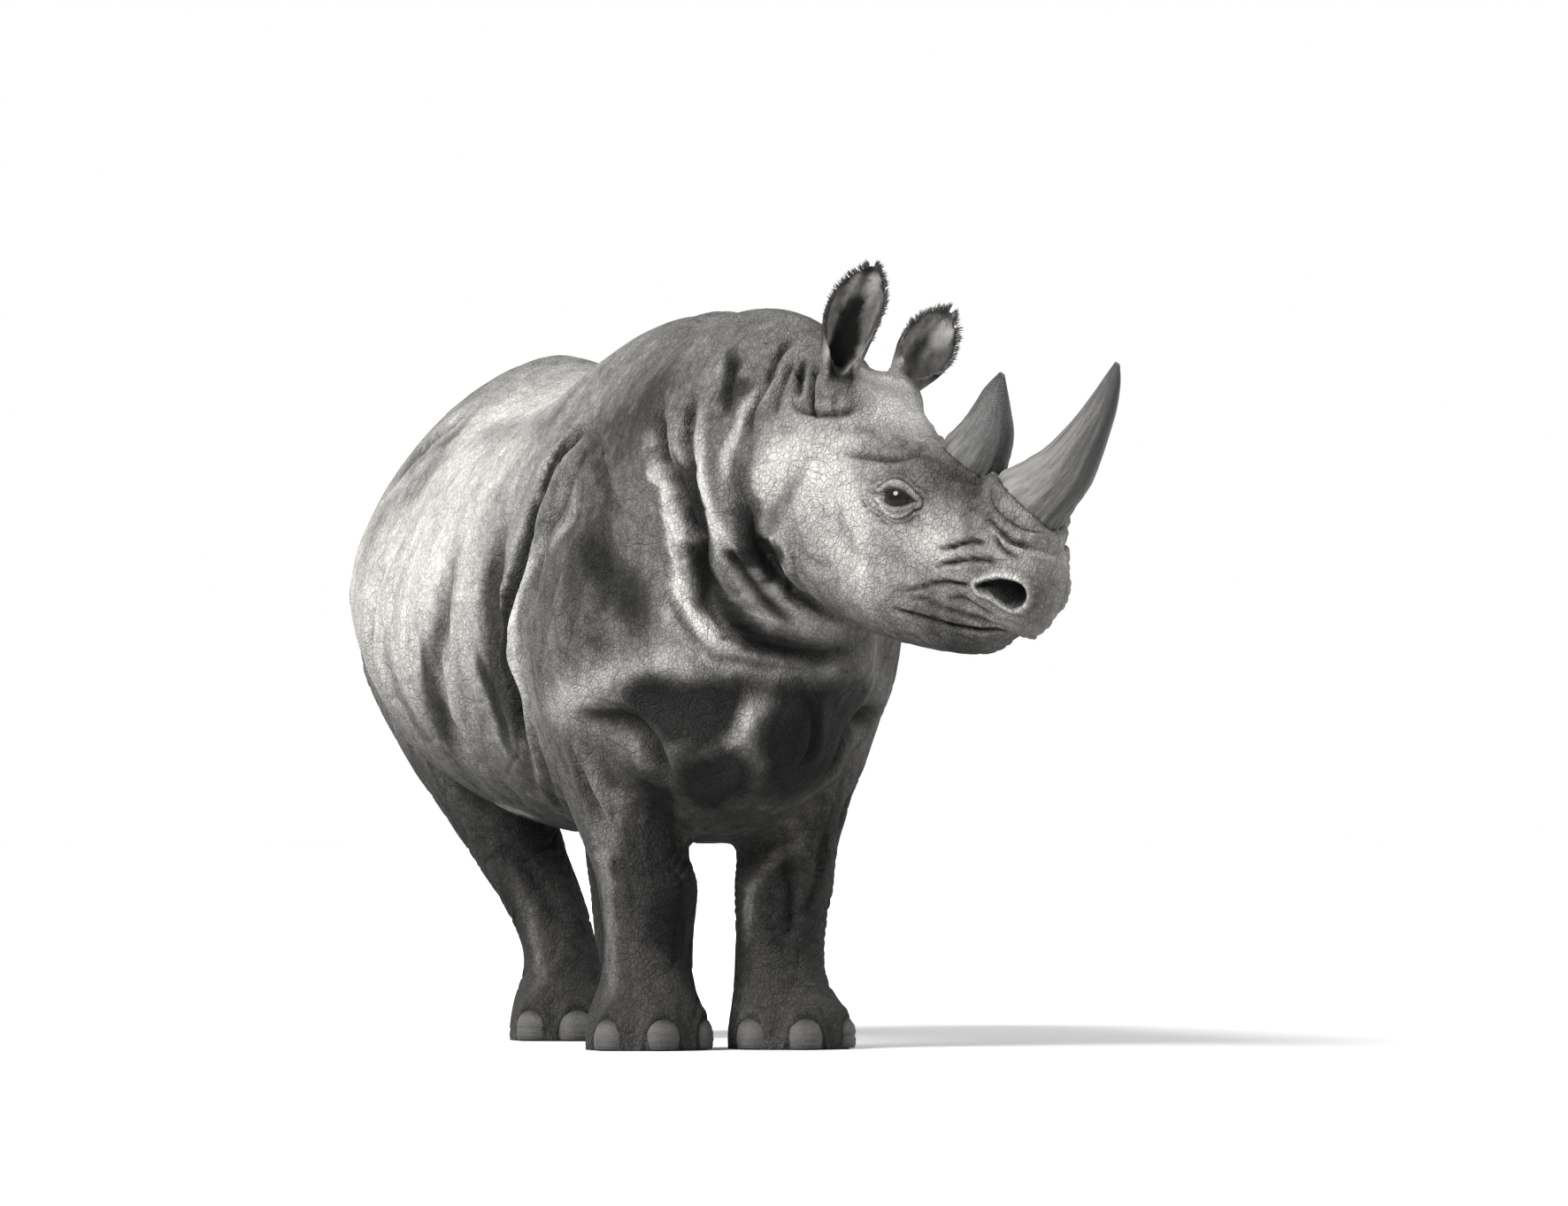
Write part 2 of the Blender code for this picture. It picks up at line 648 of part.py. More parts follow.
# ---------------------------------------------------------------- finish and place
def finished(nodes, finish):
    """Gives every node its own material."""
    (red, green, blue), roughness = FINISHES[finish]
    for node in nodes:
        material = bpy.data.materials.new(f"{finish}_{node.name}")
        material.use_nodes = True
        surface = material.node_tree.nodes["Principled BSDF"]
        surface.inputs["Base Color"].default_value = (red, green, blue, 1.0)
        surface.inputs["Roughness"].default_value = roughness
        surface.inputs["Metallic"].default_value = 0.0
        node.data.materials.clear()
        node.data.materials.append(material)


def stood_on_origin(model):
    """Moves every node so that the middle of the model's box stands on the origin."""
    corners = np.vstack([np.array(node.bound_box) for node in model.objects])
    low, high = corners.min(axis=0), corners.max(axis=0)
    shift = Vector((-(low[0] + high[0]) / 2, -(low[1] + high[1]) / 2, -low[2]))
    for node in model.objects:
        node.data.transform(Matrix.Translation(shift))
    return shift


def build():
    """Makes every node, and returns how far the model was moved to stand on the origin."""
    for old in list(bpy.data.objects):
        bpy.data.objects.remove(old)
    model = collected("rhinoceros", False)
    cutters = collected("cutters", True)
    trunk = whole_flesh(model)
    cut(trunk, half_space(Vector(), Vector((0, 0, 1)), cutters), "INTERSECT")
    tree = skin_tree(trunk)
    clear = as_cutter(copy_of(trunk, "skin_clear", cutters))
    swell = clear.modifiers.new("swell", "DISPLACE")
    swell.mid_level = 0.0
    swell.strength = GAP * 1.5
    settled(clear)

    head = copy_of(trunk, "head", model)
    cut(head, head_cutter(0.0, cutters), "INTERSECT")
    cut(trunk, head_cutter(GAP, cutters))
    top, low = NECK_CUT
    across = (low - top).cross(Vector((1, 0, 0))).normalized()
    neck = parted(trunk, "neck", top, across, model, cutters)
    tail = copy_of(trunk, "tail", model)
    cut(tail, tail_cutter(0.0, cutters), "INTERSECT")
    cut(trunk, tail_cutter(GAP, cutters))
    flesh = [trunk, head, neck, tail]
    nails = []
    for rows, kind, side, middle in leg_plans():
        name = f"{kind}_{SIDE_NAMES[side]}"
        leg = copy_of(trunk, name, model)
        cut(leg, leg_cutter(rows, LEG_TOPS[kind], LEG_MARGIN, cutters), "INTERSECT")
        cut(trunk, leg_cutter(rows, LEG_TOPS[kind], LEG_MARGIN + GAP, cutters))
        foot_name = name.replace("leg", "foot")
        down = Vector((0, 0, -1))
        foot = parted(leg, foot_name, Vector((0, 0, FOOT_CUT)), down, model, cutters)
        flesh += [leg, foot]
        nails += toenails(foot_name, middle, tree, clear, model)

    eyes = [eye(side, tree, head, model, cutters) for side in SIDE_NAMES]
    for side in SIDE_NAMES:
        carve_nostril(side, tree, head, cutters)
        flesh.append(ear(side, clear, model, cutters))
    horns = [horn(name, clear, model) for name in HORNS]
    finished(flesh, "hide")
    finished(horns, "horn")
    finished(nails, "nail")
    finished(eyes, "eye")
    return stood_on_origin(model)


build()
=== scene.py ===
"""The finish of a life-size black rhinoceros that stands still with its head turned to its left.

One skin is melted from the same lofts and masses as the solids and then sculpted: muscles, folds,
wrinkles, lids, nostrils, mouth and cupped ears.  The eyes, horns, toenails and hair are pieces of
their own.

Frame: metres, +Z up, the animal faces -Y, its left side is +X.  The plan is laid out with y = 0 at
the front of the chest, and MODEL_SHIFT moves it to where the solids stand.  The tables of sections,
forms and lines are in millimetres: in_metres turns the first two into metres, lines_of the lines.
"""

import contextlib
import itertools
import math

import bmesh
import bpy
import numpy as np
from mathutils import Matrix, Vector
from mathutils.bvhtree import BVHTree


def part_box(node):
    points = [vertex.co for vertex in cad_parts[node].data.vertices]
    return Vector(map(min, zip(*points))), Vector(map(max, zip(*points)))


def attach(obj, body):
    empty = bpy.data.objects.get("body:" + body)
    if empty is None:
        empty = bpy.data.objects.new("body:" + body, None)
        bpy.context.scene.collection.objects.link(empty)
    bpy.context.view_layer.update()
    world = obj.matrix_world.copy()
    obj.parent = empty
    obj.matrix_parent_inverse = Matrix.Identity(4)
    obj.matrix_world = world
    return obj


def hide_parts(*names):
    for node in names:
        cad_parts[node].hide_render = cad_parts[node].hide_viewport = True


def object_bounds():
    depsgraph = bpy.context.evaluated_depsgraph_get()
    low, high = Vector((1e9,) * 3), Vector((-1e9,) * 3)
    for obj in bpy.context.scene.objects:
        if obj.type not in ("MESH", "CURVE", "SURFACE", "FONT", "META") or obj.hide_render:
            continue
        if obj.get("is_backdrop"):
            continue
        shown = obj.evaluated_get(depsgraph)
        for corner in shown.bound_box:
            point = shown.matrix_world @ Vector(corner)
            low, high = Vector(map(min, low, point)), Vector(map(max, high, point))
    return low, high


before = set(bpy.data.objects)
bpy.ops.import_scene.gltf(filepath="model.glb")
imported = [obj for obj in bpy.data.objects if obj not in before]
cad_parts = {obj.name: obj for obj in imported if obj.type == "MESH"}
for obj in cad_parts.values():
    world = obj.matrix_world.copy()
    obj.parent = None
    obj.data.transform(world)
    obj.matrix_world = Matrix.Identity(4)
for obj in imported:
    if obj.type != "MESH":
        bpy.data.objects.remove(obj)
CAD_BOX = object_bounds()

# ---------------------------------------------------------------- driving sizes
MODEL_SHIFT = np.array((-0.0164, -0.7043, 0.0))
LINE_SPACING = 0.010  # between the points of a line on the skin
BROAD_FOLD = 0.016  # folds at least this wide have wrinkles beside them and painted highlight with dust on their lips
WRINKLE_BESIDE = 0.0016
LIP_HIGHLIGHT_AND_DUST = 0.45  # how pale the lips of the broad folds are, as painted highlight with dust
VOXEL = 0.0062  # grain of the melted skin
MELT_STEPS = 72  # passes that ease the joins between the masses
EVEN_STEPS = 4  # passes that even out the grain everywhere
SKIN_TRIANGLES = 194000
SIDES = {-1: "right", 1: "left"}
BOTH, RIGHT, ONE = (-1, 1), (-1,), (0,)  # the sides a line is on; ONE is as its points are given

HEAD_YAW = 35.0  # degrees the head is turned to the left
HEAD_PITCH = 40.0  # degrees the head's long axis points below the level
POLL = np.array((0.150, -0.200, 1.440))  # top of the head between the ears

EYE_RADIUS = 0.040
EYE_FIT = 0.992  # share of that radius that the ball has, so that the lids stay clear of it
EYE_SINK = 0.006  # how much deeper than the solid's its middle lies
SLIT = (0.0408, 0.0200)  # half length and half height of the opening between the lids
SLIT_TILT = 32.0  # degrees its front corner is raised from the head's axis
LID = 0.0042  # thickness of the lids
LID_GAP = 0.0006  # between the ball and the lids
LID_ROLL = 0.0022  # how far the lids' edges swell
LID_TUCK = 0.011  # how far behind the ball's surface the skin goes in the slit
LID_BLEND = 0.006  # how softly the lids run out into the skin round them
CORNER_DEPTH = 0.006
NOSTRIL_FRONT = (0.652, -0.052, 0.031)  # along, up, radius of its round front end
NOSTRIL_BACK = (0.578, -0.090, 0.007)
NOSTRIL_DEPTH = 0.042

EAR_ROOT = (0.018, -0.010, 0.106)  # along, up and out
EAR_REACH = {-1: (0.018, -0.098, 0.264), 1: (0.160, 0.105, 0.160)}
EAR_FACING = {-1: (-0.15, -0.98, 0.10), 1: (0.05, -0.95, 0.30)}
EAR_LEAN = {-1: 0.030, 1: -0.012}  # how far the tip leans to the left
EAR_WALL = 0.0095
EAR_ROOT_DEPTH = 0.0015  # how deep its bristles are rooted
EAR_LINING = {-1: 0.45, 1: 0.15}  # tone of its inside, painted light, paler on the right ear
CUP_PAINTED_SHADE = {-1: 1.0, 1: 0.45}  # how much painted shade its cup has
CUP_SHARES = (0.1, 0.4, 0.6, 0.80)  # shares of its length where the painted shade has CUP_WIDTHS each side
CUP_WIDTHS = (0.032, 0.037, 0.030, 0.009)

FRONT_FOOT = {-1: (-0.158, 0.41), 1: (0.164, 0.41)}
HIND_FOOT = {-1: (-0.092, 1.275), 1: (0.240, 1.780)}
FEET = (("forefoot", FRONT_FOOT, 0.118), ("hindfoot", HIND_FOOT, 0.104))  # name, places, toes' reach
NAIL_TURNS = (-52.0, 0.0, 52.0)  # degrees round the foot
TOE_GAP_TURNS = (-26.0, 26.0)
BRISTLE_RADIUS = {"fringe": 0.0014, "brush": 0.0016, "lash": 0.0006}
HORN_PAINTED_SHADES = {"horn_front": -0.04, "horn_rear": 0.07}  # painted shade: how much darker each is than plain horn


# ---------------------------------------------------------------- frames
def unit(vectors):
    """Vectors of length one."""
    vectors = np.asarray(vectors, float)
    return vectors / np.linalg.norm(vectors, axis=-1, keepdims=True)


def axes_of(yaw, pitch):
    """Left, forward and up of something that faces -Y, turned left by yaw and tipped by pitch."""
    turn, tip = np.radians(yaw), np.radians(pitch)
    flat = np.zeros_like(turn)
    level = np.stack([np.sin(turn), -np.cos(turn), flat], axis=-1)
    left = np.stack([np.cos(turn), np.sin(turn), flat], axis=-1)
    rise = np.stack([flat, flat, np.ones_like(flat)], axis=-1)
    cosine, sine = np.cos(tip)[..., None], np.sin(tip)[..., None]
    return left, level * cosine - rise * sine, level * sine + rise * cosine


HEAD_LEFT, HEAD_FORWARD, HEAD_UP = axes_of(HEAD_YAW, HEAD_PITCH)


def in_head(along, up, out=0.0):
    """Places given along the head from the poll, up from its axis and out to its left."""
    along, up, out = np.broadcast_arrays(along, up, out)
    turned = np.stack([along, up, out], axis=-1) @ np.stack([HEAD_FORWARD, HEAD_UP, HEAD_LEFT])
    return POLL + turned


# ---------------------------------------------------------------- tables of the form
MM = 1000.0  # millimetres in a metre: the tables are in millimetres, but for angles and powers


def in_metres(rows, *plain):
    """Rows of millimetres as metres; the columns named as plain stay as they are."""
    rows = np.array(rows, float)
    scale = np.full(rows.shape[1], MM)
    scale[list(plain)] = 1.0
    return rows / scale


# A section: centre x, y, z, then yaw and pitch of its plane, half width,
# height above the centre, depth below it, and how square it is above and below (2 is an oval).
SECTION_PLAIN = (3, 4, 8, 9)  # columns of yaw, pitch and squareness
TRUNK = in_metres((
    (0, 0, 900, 0, 0, 160, 170, 200, 2, 2),
    (0, 80, 930, 0, 0, 250, 360, 360, 2, 2.1),
    (0, 260, 980, 0, 0, 325, 590, 505, 1.9, 2.2),
    (0, 450, 990, 0, 0, 370, 600, 545, 1.8, 2.2),
    (0, 660, 970, 0, 0, 425, 600, 520, 1.8, 2.2),
    (0, 900, 940, 0, 0, 475, 550, 490, 1.8, 2.2),
    (0, 1150, 930, 0, 0, 510, 520, 470, 1.8, 2.2),
    (0, 1400, 950, 0, 0, 510, 545, 440, 1.65, 2.15),
    (0, 1620, 980, 0, 0, 468, 540, 395, 1.6, 2),
    (0, 1820, 1000, 0, 0, 405, 475, 350, 1.7, 1.9),
    (0, 1990, 1010, 0, 0, 320, 360, 290, 2, 2),
    (0, 2080, 1010, 0, 0, 190, 220, 180, 2, 2),
), *SECTION_PLAIN)
NECK = in_metres((
    (0, 420, 1100, 0, 12, 310, 475, 470, 1.9, 2),
    (5, 200, 1140, 4, 24, 295, 500, 440, 1.9, 2),
    (35, 50, 1170, 12, 33, 270, 400, 420, 1.9, 2),
    (80, -70, 1190, 24, 38, 240, 310, 380, 2, 2),
    (115, -160, 1210, 33, 40, 200, 225, 320, 2, 2),
), *SECTION_PLAIN)
# The head's sections are given along the head and up from its axis, with its own turn.
SKULL = in_metres((
    (-45, -150, 110, 110, 130, 2, 2),
    (0, -145, 150, 140, 160, 2.2, 2),
    (80, -130, 172, 142, 200, 2.4, 2),
    (180, -115, 172, 120, 210, 2.6, 2),
    (280, -105, 155, 120, 190, 2.6, 2.1),
    (360, -95, 133, 140, 160, 2.5, 2.2),
    (450, -80, 114, 155, 130, 2.4, 2.2),
    (530, -68, 108, 158, 110, 2.4, 2.2),
    (600, -62, 105, 132, 100, 2.4, 2.2),
    (652, -66, 92, 96, 85, 2.3, 2.2),
    (688, -74, 60, 56, 58, 2.2, 2),
), 5, 6)
JAW = in_metres((
    (-10, -250, 110, 100, 95, 2, 2),
    (80, -262, 158, 120, 138, 2, 2.1),
    (180, -268, 162, 125, 156, 2, 2.1),
    (300, -260, 140, 125, 150, 2, 2.1),
    (420, -240, 112, 105, 130, 2, 2.2),
    (530, -208, 92, 82, 100, 2, 2.3),
    (605, -184, 76, 58, 72, 2, 2.3),
    (645, -172, 48, 34, 42, 2, 2),
), 5, 6)
# Legs are cut level: half width, reach forward and reach back of each cut.
LEG_SQUARE = 2.2  # how square the cuts are
FRONT_LEG = in_metres((
    # x beyond the foot's, y behind the foot's, height, half width, forward, back
    (95, 30, 1120, 110, 230, 220),
    (92, 20, 950, 138, 275, 260),
    (80, 40, 800, 146, 260, 250),
    (55, 70, 660, 136, 205, 215),
    (28, 55, 530, 117, 150, 170),
    (6, 20, 420, 107, 122, 130),
    (-8, 0, 350, 107, 120, 112),
    (-12, 10, 240, 96, 102, 108),
    (-10, 12, 150, 100, 106, 114),
    (0, 0, 85, 122, 132, 122),
    (0, -4, 30, 130, 142, 128),
    (0, -4, -30, 128, 140, 126),
))
HIND_LEG = {
    # x beyond the foot's, y behind the foot's, height, half width, forward, back
    -1: in_metres((
        (170, 440, 1130, 120, 270, 260),
        (170, 410, 950, 150, 340, 330),
        (152, 365, 780, 155, 300, 320),
        (112, 305, 620, 138, 235, 240),
        (74, 240, 500, 118, 180, 178),
        (42, 180, 400, 102, 148, 150),
        (4, 110, 290, 87, 124, 118),
        (-14, 42, 180, 83, 106, 106),
        (-4, 12, 95, 103, 118, 108),
        (0, 0, 30, 115, 128, 114),
        (0, 0, -30, 113, 126, 112),
    )),
    1: in_metres((
        (40, -60, 1130, 120, 260, 240),
        (40, -60, 950, 150, 340, 330),
        (35, -35, 780, 155, 320, 310),
        (30, 30, 630, 138, 260, 225),
        (22, 90, 510, 116, 195, 160),
        (12, 115, 420, 99, 145, 142),
        (6, 95, 300, 89, 108, 108),
        (2, 50, 180, 90, 102, 104),
        (0, 15, 95, 107, 118, 108),
        (0, 0, 30, 115, 128, 114),
        (0, 0, -30, 113, 126, 112),
    )),
}
TAIL = in_metres((
    # x, y, z, half width, half thickness
    (0, 1980, 1240, 60, 60),
    (0, 2080, 1200, 48, 46),
    (0, 2135, 1090, 36, 34),
    (4, 2150, 940, 27, 25),
    (10, 2145, 790, 22, 20),
    (14, 2135, 680, 24, 18),
    (16, 2130, 600, 18, 13),
    (16, 2128, 560, 10, 8),
))
# Rounded masses on the head: along, up, out, then radii out, along and up.  Out repeats at -out.
HEAD_MASSES = in_metres((
    (300, -10, 102, 45, 80, 45),  # brow over the eye
    (322, -70, 118, 36, 62, 50),  # mound of the lids
    (110, -180, 85, 85, 140, 140),  # cheek muscle
    (605, -62, 62, 52, 66, 56),  # nostril wing
    (35, -20, 85, 65, 70, 55),  # root of the ear
    (510, 70, 25, 66, 95, 45),  # seat of the front horn
    (345, 30, 20, 62, 90, 40),  # seat of the rear horn
    (672, -92, 0, 52, 40, 54),  # tip of the upper lip
))
# Horns: along, up, half width, half length of each cut.
HORNS = {
    "horn_front": in_metres((
        (508, 30, 70, 85),
        (509, 100, 66, 85),
        (522, 150, 58, 78),
        (536, 210, 49, 66),
        (536, 270, 41, 53),
        (532, 320, 33, 43),
        (524, 375, 25, 33),
        (511, 425, 16, 20),
        (498, 458, 6, 7),
    )),
    "horn_rear": in_metres((
        (333, 5, 60, 74),
        (334, 80, 55, 73),
        (329, 130, 46, 65),
        (319, 165, 36, 56),
        (302, 195, 27, 41),
        (288, 222, 17, 24),
        (276, 247, 6, 7),
    )),
}
# The ear: share of its length from the head, half width, half depth, bow to the back,
# and how far round its wall reaches on each side, in degrees from the back.
EAR = in_metres((
    (-0.16, 36, 36, 0, 170),
    (0, 36, 36, 0, 165),
    (0.16, 40, 40, 6, 150),
    (0.32, 50, 40, 14, 128),
    (0.48, 60, 36, 18, 112),
    (0.64, 63, 30, 17, 104),
    (0.78, 55, 24, 11, 98),
    (0.9, 38, 18, 3, 94),
    (0.98, 19, 14, -3, 92),
    (1.02, 8, 10, -6, 92),
), 0, 4)
# A toenail: height, half width, half thickness.
NAIL = in_metres((
    (3, 37, 19),
    (9, 39, 20.5),
    (22, 40, 21),
    (38, 38, 19),
    (53, 31, 15),
    (63, 19, 10),
    (67, 10, 6),
))

# Forms under the hide: centre x, y, z, radii x, y, z, and how far they swell the skin.
# Each is repeated on the other side.
MUSCLES = in_metres((
    (290, 290, 1200, 200, 130, 210, 14),  # shoulder blade
    (340, 410, 880, 180, 130, 110, 15),  # upper arm
    (250, 130, 930, 140, 110, 110, 12),  # point of the shoulder
    (410, 650, 980, 200, 70, 330, -12),  # behind the shoulder
    (300, 330, 640, 140, 110, 90, 8),  # forearm
    (330, 1470, 1390, 130, 120, 90, 16),  # point of the hip
    (460, 1300, 1130, 160, 100, 200, -16),  # hollow of the flank
    (420, 1620, 1020, 180, 170, 240, 14),  # thigh
    (0, 900, 1540, 100, 450, 120, 6),  # ridge of the back
    (150, 1050, 1440, 100, 400, 80, -6),  # beside the ridge
    (480, 1080, 820, 200, 260, 200, 8),  # barrel of the belly
    (210, 80, 725, 100, 120, 70, -28),  # pit beside the breast
    (100, 100, 600, 50, 60, 40, -14),  # pit below the breast
    (160, 240, 520, 50, 120, 80, -14),  # inside of the upper arm
))
# The same on the head: along, up, out, radii along, up and out, swell.
HEAD_FORMS = in_metres((
    (130, -200, 170, 100, 100, 80, 10),  # cheek muscle
    (150, -50, 160, 50, 35, 60, -8),  # temple
    (260, -180, 160, 60, 40, 60, -6),  # below the eye
    (300, -20, 140, 70, 25, 50, 6),  # brow
    (420, -60, 120, 50, 60, 50, -6),  # between eye and nostril
    (110, 30, 60, 80, 50, 60, 9),  # dome of the forehead
    (240, 20, 60, 60, 30, 50, -8),  # dip in front of it
    (560, -170, 80, 90, 22, 50, 6),  # upper lip
    (580, -235, 60, 50, 25, 50, 6),  # lower lip
))

# Folds.  Each has a view that says what its points are: "flank" (y, z) seen from the side,
# "head" (along, up) seen from the head's side or (along, up, out), "free" (x, y, z).  Then the
# sides it is on (0 is as given), its half width, depth, the lift of its lips, how far the upper lip
# leans over it, and its points.  A ridge has a depth below zero.
OPEN_IN_FRONT = ("mouth",)  # lines that fade at their back end only
GROOVE = ((400, 1460), (430, 1360), (490, 1280), (520, 1180), (540, 1080), (580, 970), (620, 870),
          (620, 800), (635, 700), (720, 600), (880, 505))  # behind the shoulder
BLADE_BACK = ((370, 1330), (380, 1240), (430, 1140), (450, 1030), (460, 970))
FOLDS = {
    "behind_shoulder": ("flank", BOTH, 24, 42, 16, 12, GROOVE),
    "blade_top": ("flank", BOTH, 26, 16, 7, 3, (
        (390, 1420), (330, 1310), (220, 1220), (130, 1120))),
    "blade_back": ("flank", BOTH, 22, 20, 8, 4, BLADE_BACK),
    "rib_front": ("flank", BOTH, 28, 15, 6, 0, ((690, 1200), (675, 1030), (660, 890), (660, 760))),
    "rib_middle": ("flank", BOTH, 30, 14, 5, 0, (
        (870, 1150), (885, 950), (930, 800), (960, 670), (920, 580))),
    "rib_back": ("flank", BOTH, 30, 10, 4, 0, ((930, 980), (1030, 860), (1020, 740), (860, 660))),
    "flank_fold": ("flank", BOTH, 34, 26, 10, 4, (
        (1380, 1100), (1330, 960), (1330, 820), (1390, 680))),
    "croup": ("flank", BOTH, 40, 8, 3, 0, (
        (1430, 1400), (1450, 1360), (1510, 1310), (1600, 1250), (1700, 1220))),
    "rump": ("flank", BOTH, 32, 12, 5, 0, ((1900, 1160), (1840, 1020), (1820, 880), (1860, 760))),
    "armpit": ("flank", BOTH, 14, 12, 4, 0, ((560, 730), (630, 610), (800, 500))),
    "foreleg_front": ("flank", BOTH, 10, 7, 3, 0, ((375, 680), (370, 570), (350, 430))),
    "neck_first": ("free", ONE, 28, 40, 14, 14, (
        (-190, 100, 1430), (-230, 60, 1370), (-233, 14, 1290), (-204, -55, 1180),
        (-175, -55, 1080), (-139, 0, 970), (-79, 0, 910), (60, 0, 875), (174, 17, 865),
        (235, 100, 900))),
    "neck_second": ("free", ONE, 20, 24, 9, 8, (
        (-150, -40, 1430), (-191, -45, 1370), (-192, -80, 1250), (-168, -100, 1140),
        (-147, -60, 1040), (-80, -20, 955))),
    "neck_third": ("free", ONE, 17, 20, 7, 6, (
        (-100, -140, 1370), (-132, -176, 1220), (-97, -190, 1140), (-5, -80, 1045), (119, 0, 954),
        (242, 74, 893))),
    "neck_fourth": ("free", ONE, 13, 14, 6, 4, (
        (-152, -124, 1140), (-92, -109, 1044), (-2, -9, 969), (99, 0, 908))),
    "collar": ("free", ONE, 16, 18, 8, 6, (
        (-220, 60, 1000), (-190, 25, 950), (-138, 0, 870), (-39, 0, 836), (164, 15, 836))),
    "neck_left_first": ("free", ONE, 22, 30, 10, 10, (
        (200, 60, 1460), (270, 50, 1350), (300, 30, 1220), (310, 50, 1080), (280, 80, 960))),
    "neck_left_second": ("free", ONE, 18, 24, 8, 8, (
        (220, -30, 1430), (280, -30, 1320), (300, -50, 1200), (280, -30, 1080), (220, 10, 970))),
    "arm_over_chest": ("free", BOTH, 40, -8, -2, 0, (
        (-360, 340, 750), (-290, 200, 790), (-230, 60, 830), (-140, 0, 820), (-70, 0, 770))),
    "breast_ridge": ("free", ONE, 24, -10, -3, 0, (
        (-55, 0, 780), (-52, 0, 700), (-50, 40, 630), (-20, 110, 550))),
    "chest_pleat": ("free", ONE, 12, 10, 4, 2, (
        (80, 0, 780), (110, 10, 720), (120, 40, 650), (90, 80, 600))),
    "thigh_back": ("free", BOTH, 18, 16, 6, 0, (
        (-60, 2060, 1040), (-100, 2030, 920), (-150, 1970, 800), (-200, 1880, 700))),
    "armpit_right": ("free", BOTH, 26, 30, 6, 0, (
        (-360, 340, 710), (-280, 220, 710), (-220, 160, 650), (-160, 210, 550))),
    "nape_first": ("free", ONE, 10, 12, 5, 3, (
        (30, -115, 1530), (-12, -138, 1507), (-57, -174, 1437), (-95, -185, 1365),
        (-100, -210, 1290))),
    "nape_second": ("free", ONE, 9, 10, 4, 3, (
        (10, -164, 1494), (-33, -208, 1421), (-61, -232, 1346))),
    "nape_third": ("free", ONE, 10, 12, 5, 3, (
        (-100, -70, 1500), (-115, -110, 1440), (-140, -130, 1360))),
    "ear_root_first": ("head", BOTH, 8, 12, 5, 2, (
        (-110, -10, 90), (-60, -40, 125), (-10, -70, 150))),
    "ear_root_second": ("head", RIGHT, 7, 10, 4, 2, (
        (-80, 10, 85), (-30, -25, 120), (20, -55, 145), (60, -70, 150))),
    "ear_root_third": ("head", RIGHT, 7, 5, 3, 1, ((40, 5, 120), (60, -20, 135), (90, -45, 140))),
    "elbow_right": ("free", ONE, 12, 10, 4, 0, (
        (-343, 381, 682), (-295, 375, 568), (-251, 353, 434), (-222, 330, 320))),
    "foreleg_right": ("free", ONE, 11, 9, 4, 0, (
        (-256, 338, 549), (-235, 340, 434), (-201, 320, 301))),
    "foreleg_left_outer": ("free", ONE, 11, 10, 4, 0, (
        (230, 326, 490), (204, 306, 376), (165, 312, 280))),
    "foreleg_left_inner": ("free", ONE, 11, 10, 4, 0, (
        (119, 324, 433), (140, 296, 338), (138, 322, 223))),
    "hindleg_right": ("free", ONE, 14, 10, 4, 0, (
        (-244, 1381, 479), (-154, 1304, 362), (-72, 1237, 226))),
    "belly_right": ("free", ONE, 18, 18, 6, 0, (
        (-440, 1380, 700), (-416, 1387, 640), (-287, 1411, 557), (-187, 1350, 490))),
    "mouth": ("head", BOTH, 5.5, 13, 4, 3, (
        (690, -150, 10), (670, -158, 40), (613, -182), (544, -218), (468, -258), (420, -278))),
    "lip": ("head", BOTH, 6, 8, 3, 0, (
        (653, -142), (596, -160), (525, -190), (469, -212), (440, -240))),
    "horn_fold_first": ("head", BOTH, 8, 14, 6, 4, (
        (440, 85), (470, 68), (507, 62), (562, 68), (598, 78))),
    "horn_fold_second": ("head", BOTH, 7, 11, 4, 3, ((470, 40), (510, 36), (573, 36), (629, 46))),
    "horn_fold_third": ("head", BOTH, 6, 10, 4, 2, ((520, 18), (575, 12), (625, 20), (660, 22))),
    "muzzle_first": ("head", BOTH, 6, 9, 4, 1, ((459, -145), (488, -98), (544, -43), (607, -6))),
    "muzzle_second": ("head", BOTH, 6, 9, 4, 1, ((445, -100), (467, -72), (505, -26), (545, -6))),
    "nostril_back": ("head", BOTH, 6, 9, 4, 1, (
        (412, -242), (445, -205), (478, -165), (534, -118), (565, -100))),
    "nostril_low": ("head", BOTH, 6, 7, 3, 0, (
        (500, -190), (550, -145), (600, -130), (640, -120))),
    "brow": ("head", BOTH, 8, 10, 4, 2, ((133, -85), (202, -45), (265, 5), (300, 40))),
    "temple": ("head", BOTH, 8, 10, 4, 2, ((-30, -75), (21, -69), (76, -30), (100, 0))),
    "temple_low": ("head", BOTH, 8, 6, 3, 0, ((90, -60), (138, -23), (173, -4))),
    "cheek_front": ("head", BOTH, 10, 6, 3, 0, (
        (208, -150), (244, -205), (320, -230), (366, -212))),
    "jaw_line": ("head", BOTH, 12, 6, 3, 0, ((127, -251), (190, -305), (244, -312), (290, -270))),
}

# Where the head's skin needs a finer grain: along, up, out and radius.
FINE_ZONES = in_metres(((615, -60, 90, 85), (460, -70, 110, 105)))  # nostril, side of the muzzle
# Ring folds round an eye: above (1) or below it (-1), distance from the slit, depth, half width,
# and how much painted shade each has.
RING_FOLDS = in_metres((
    (1, 19, 5.2, 2.8, 0.95),
    (1, 33, 3.6, 3.6, 0.55),
    (1, 48, 2.4, 4, 0),
    (-1, 19.5, 5.2, 2.8, 0.95),
    (-1, 34, 3.2, 3, 0.50),
    (-1, 46, 4.6, 3.4, 0.85),
    (-1, 60, 2.8, 4, 0),
), 0, 4)
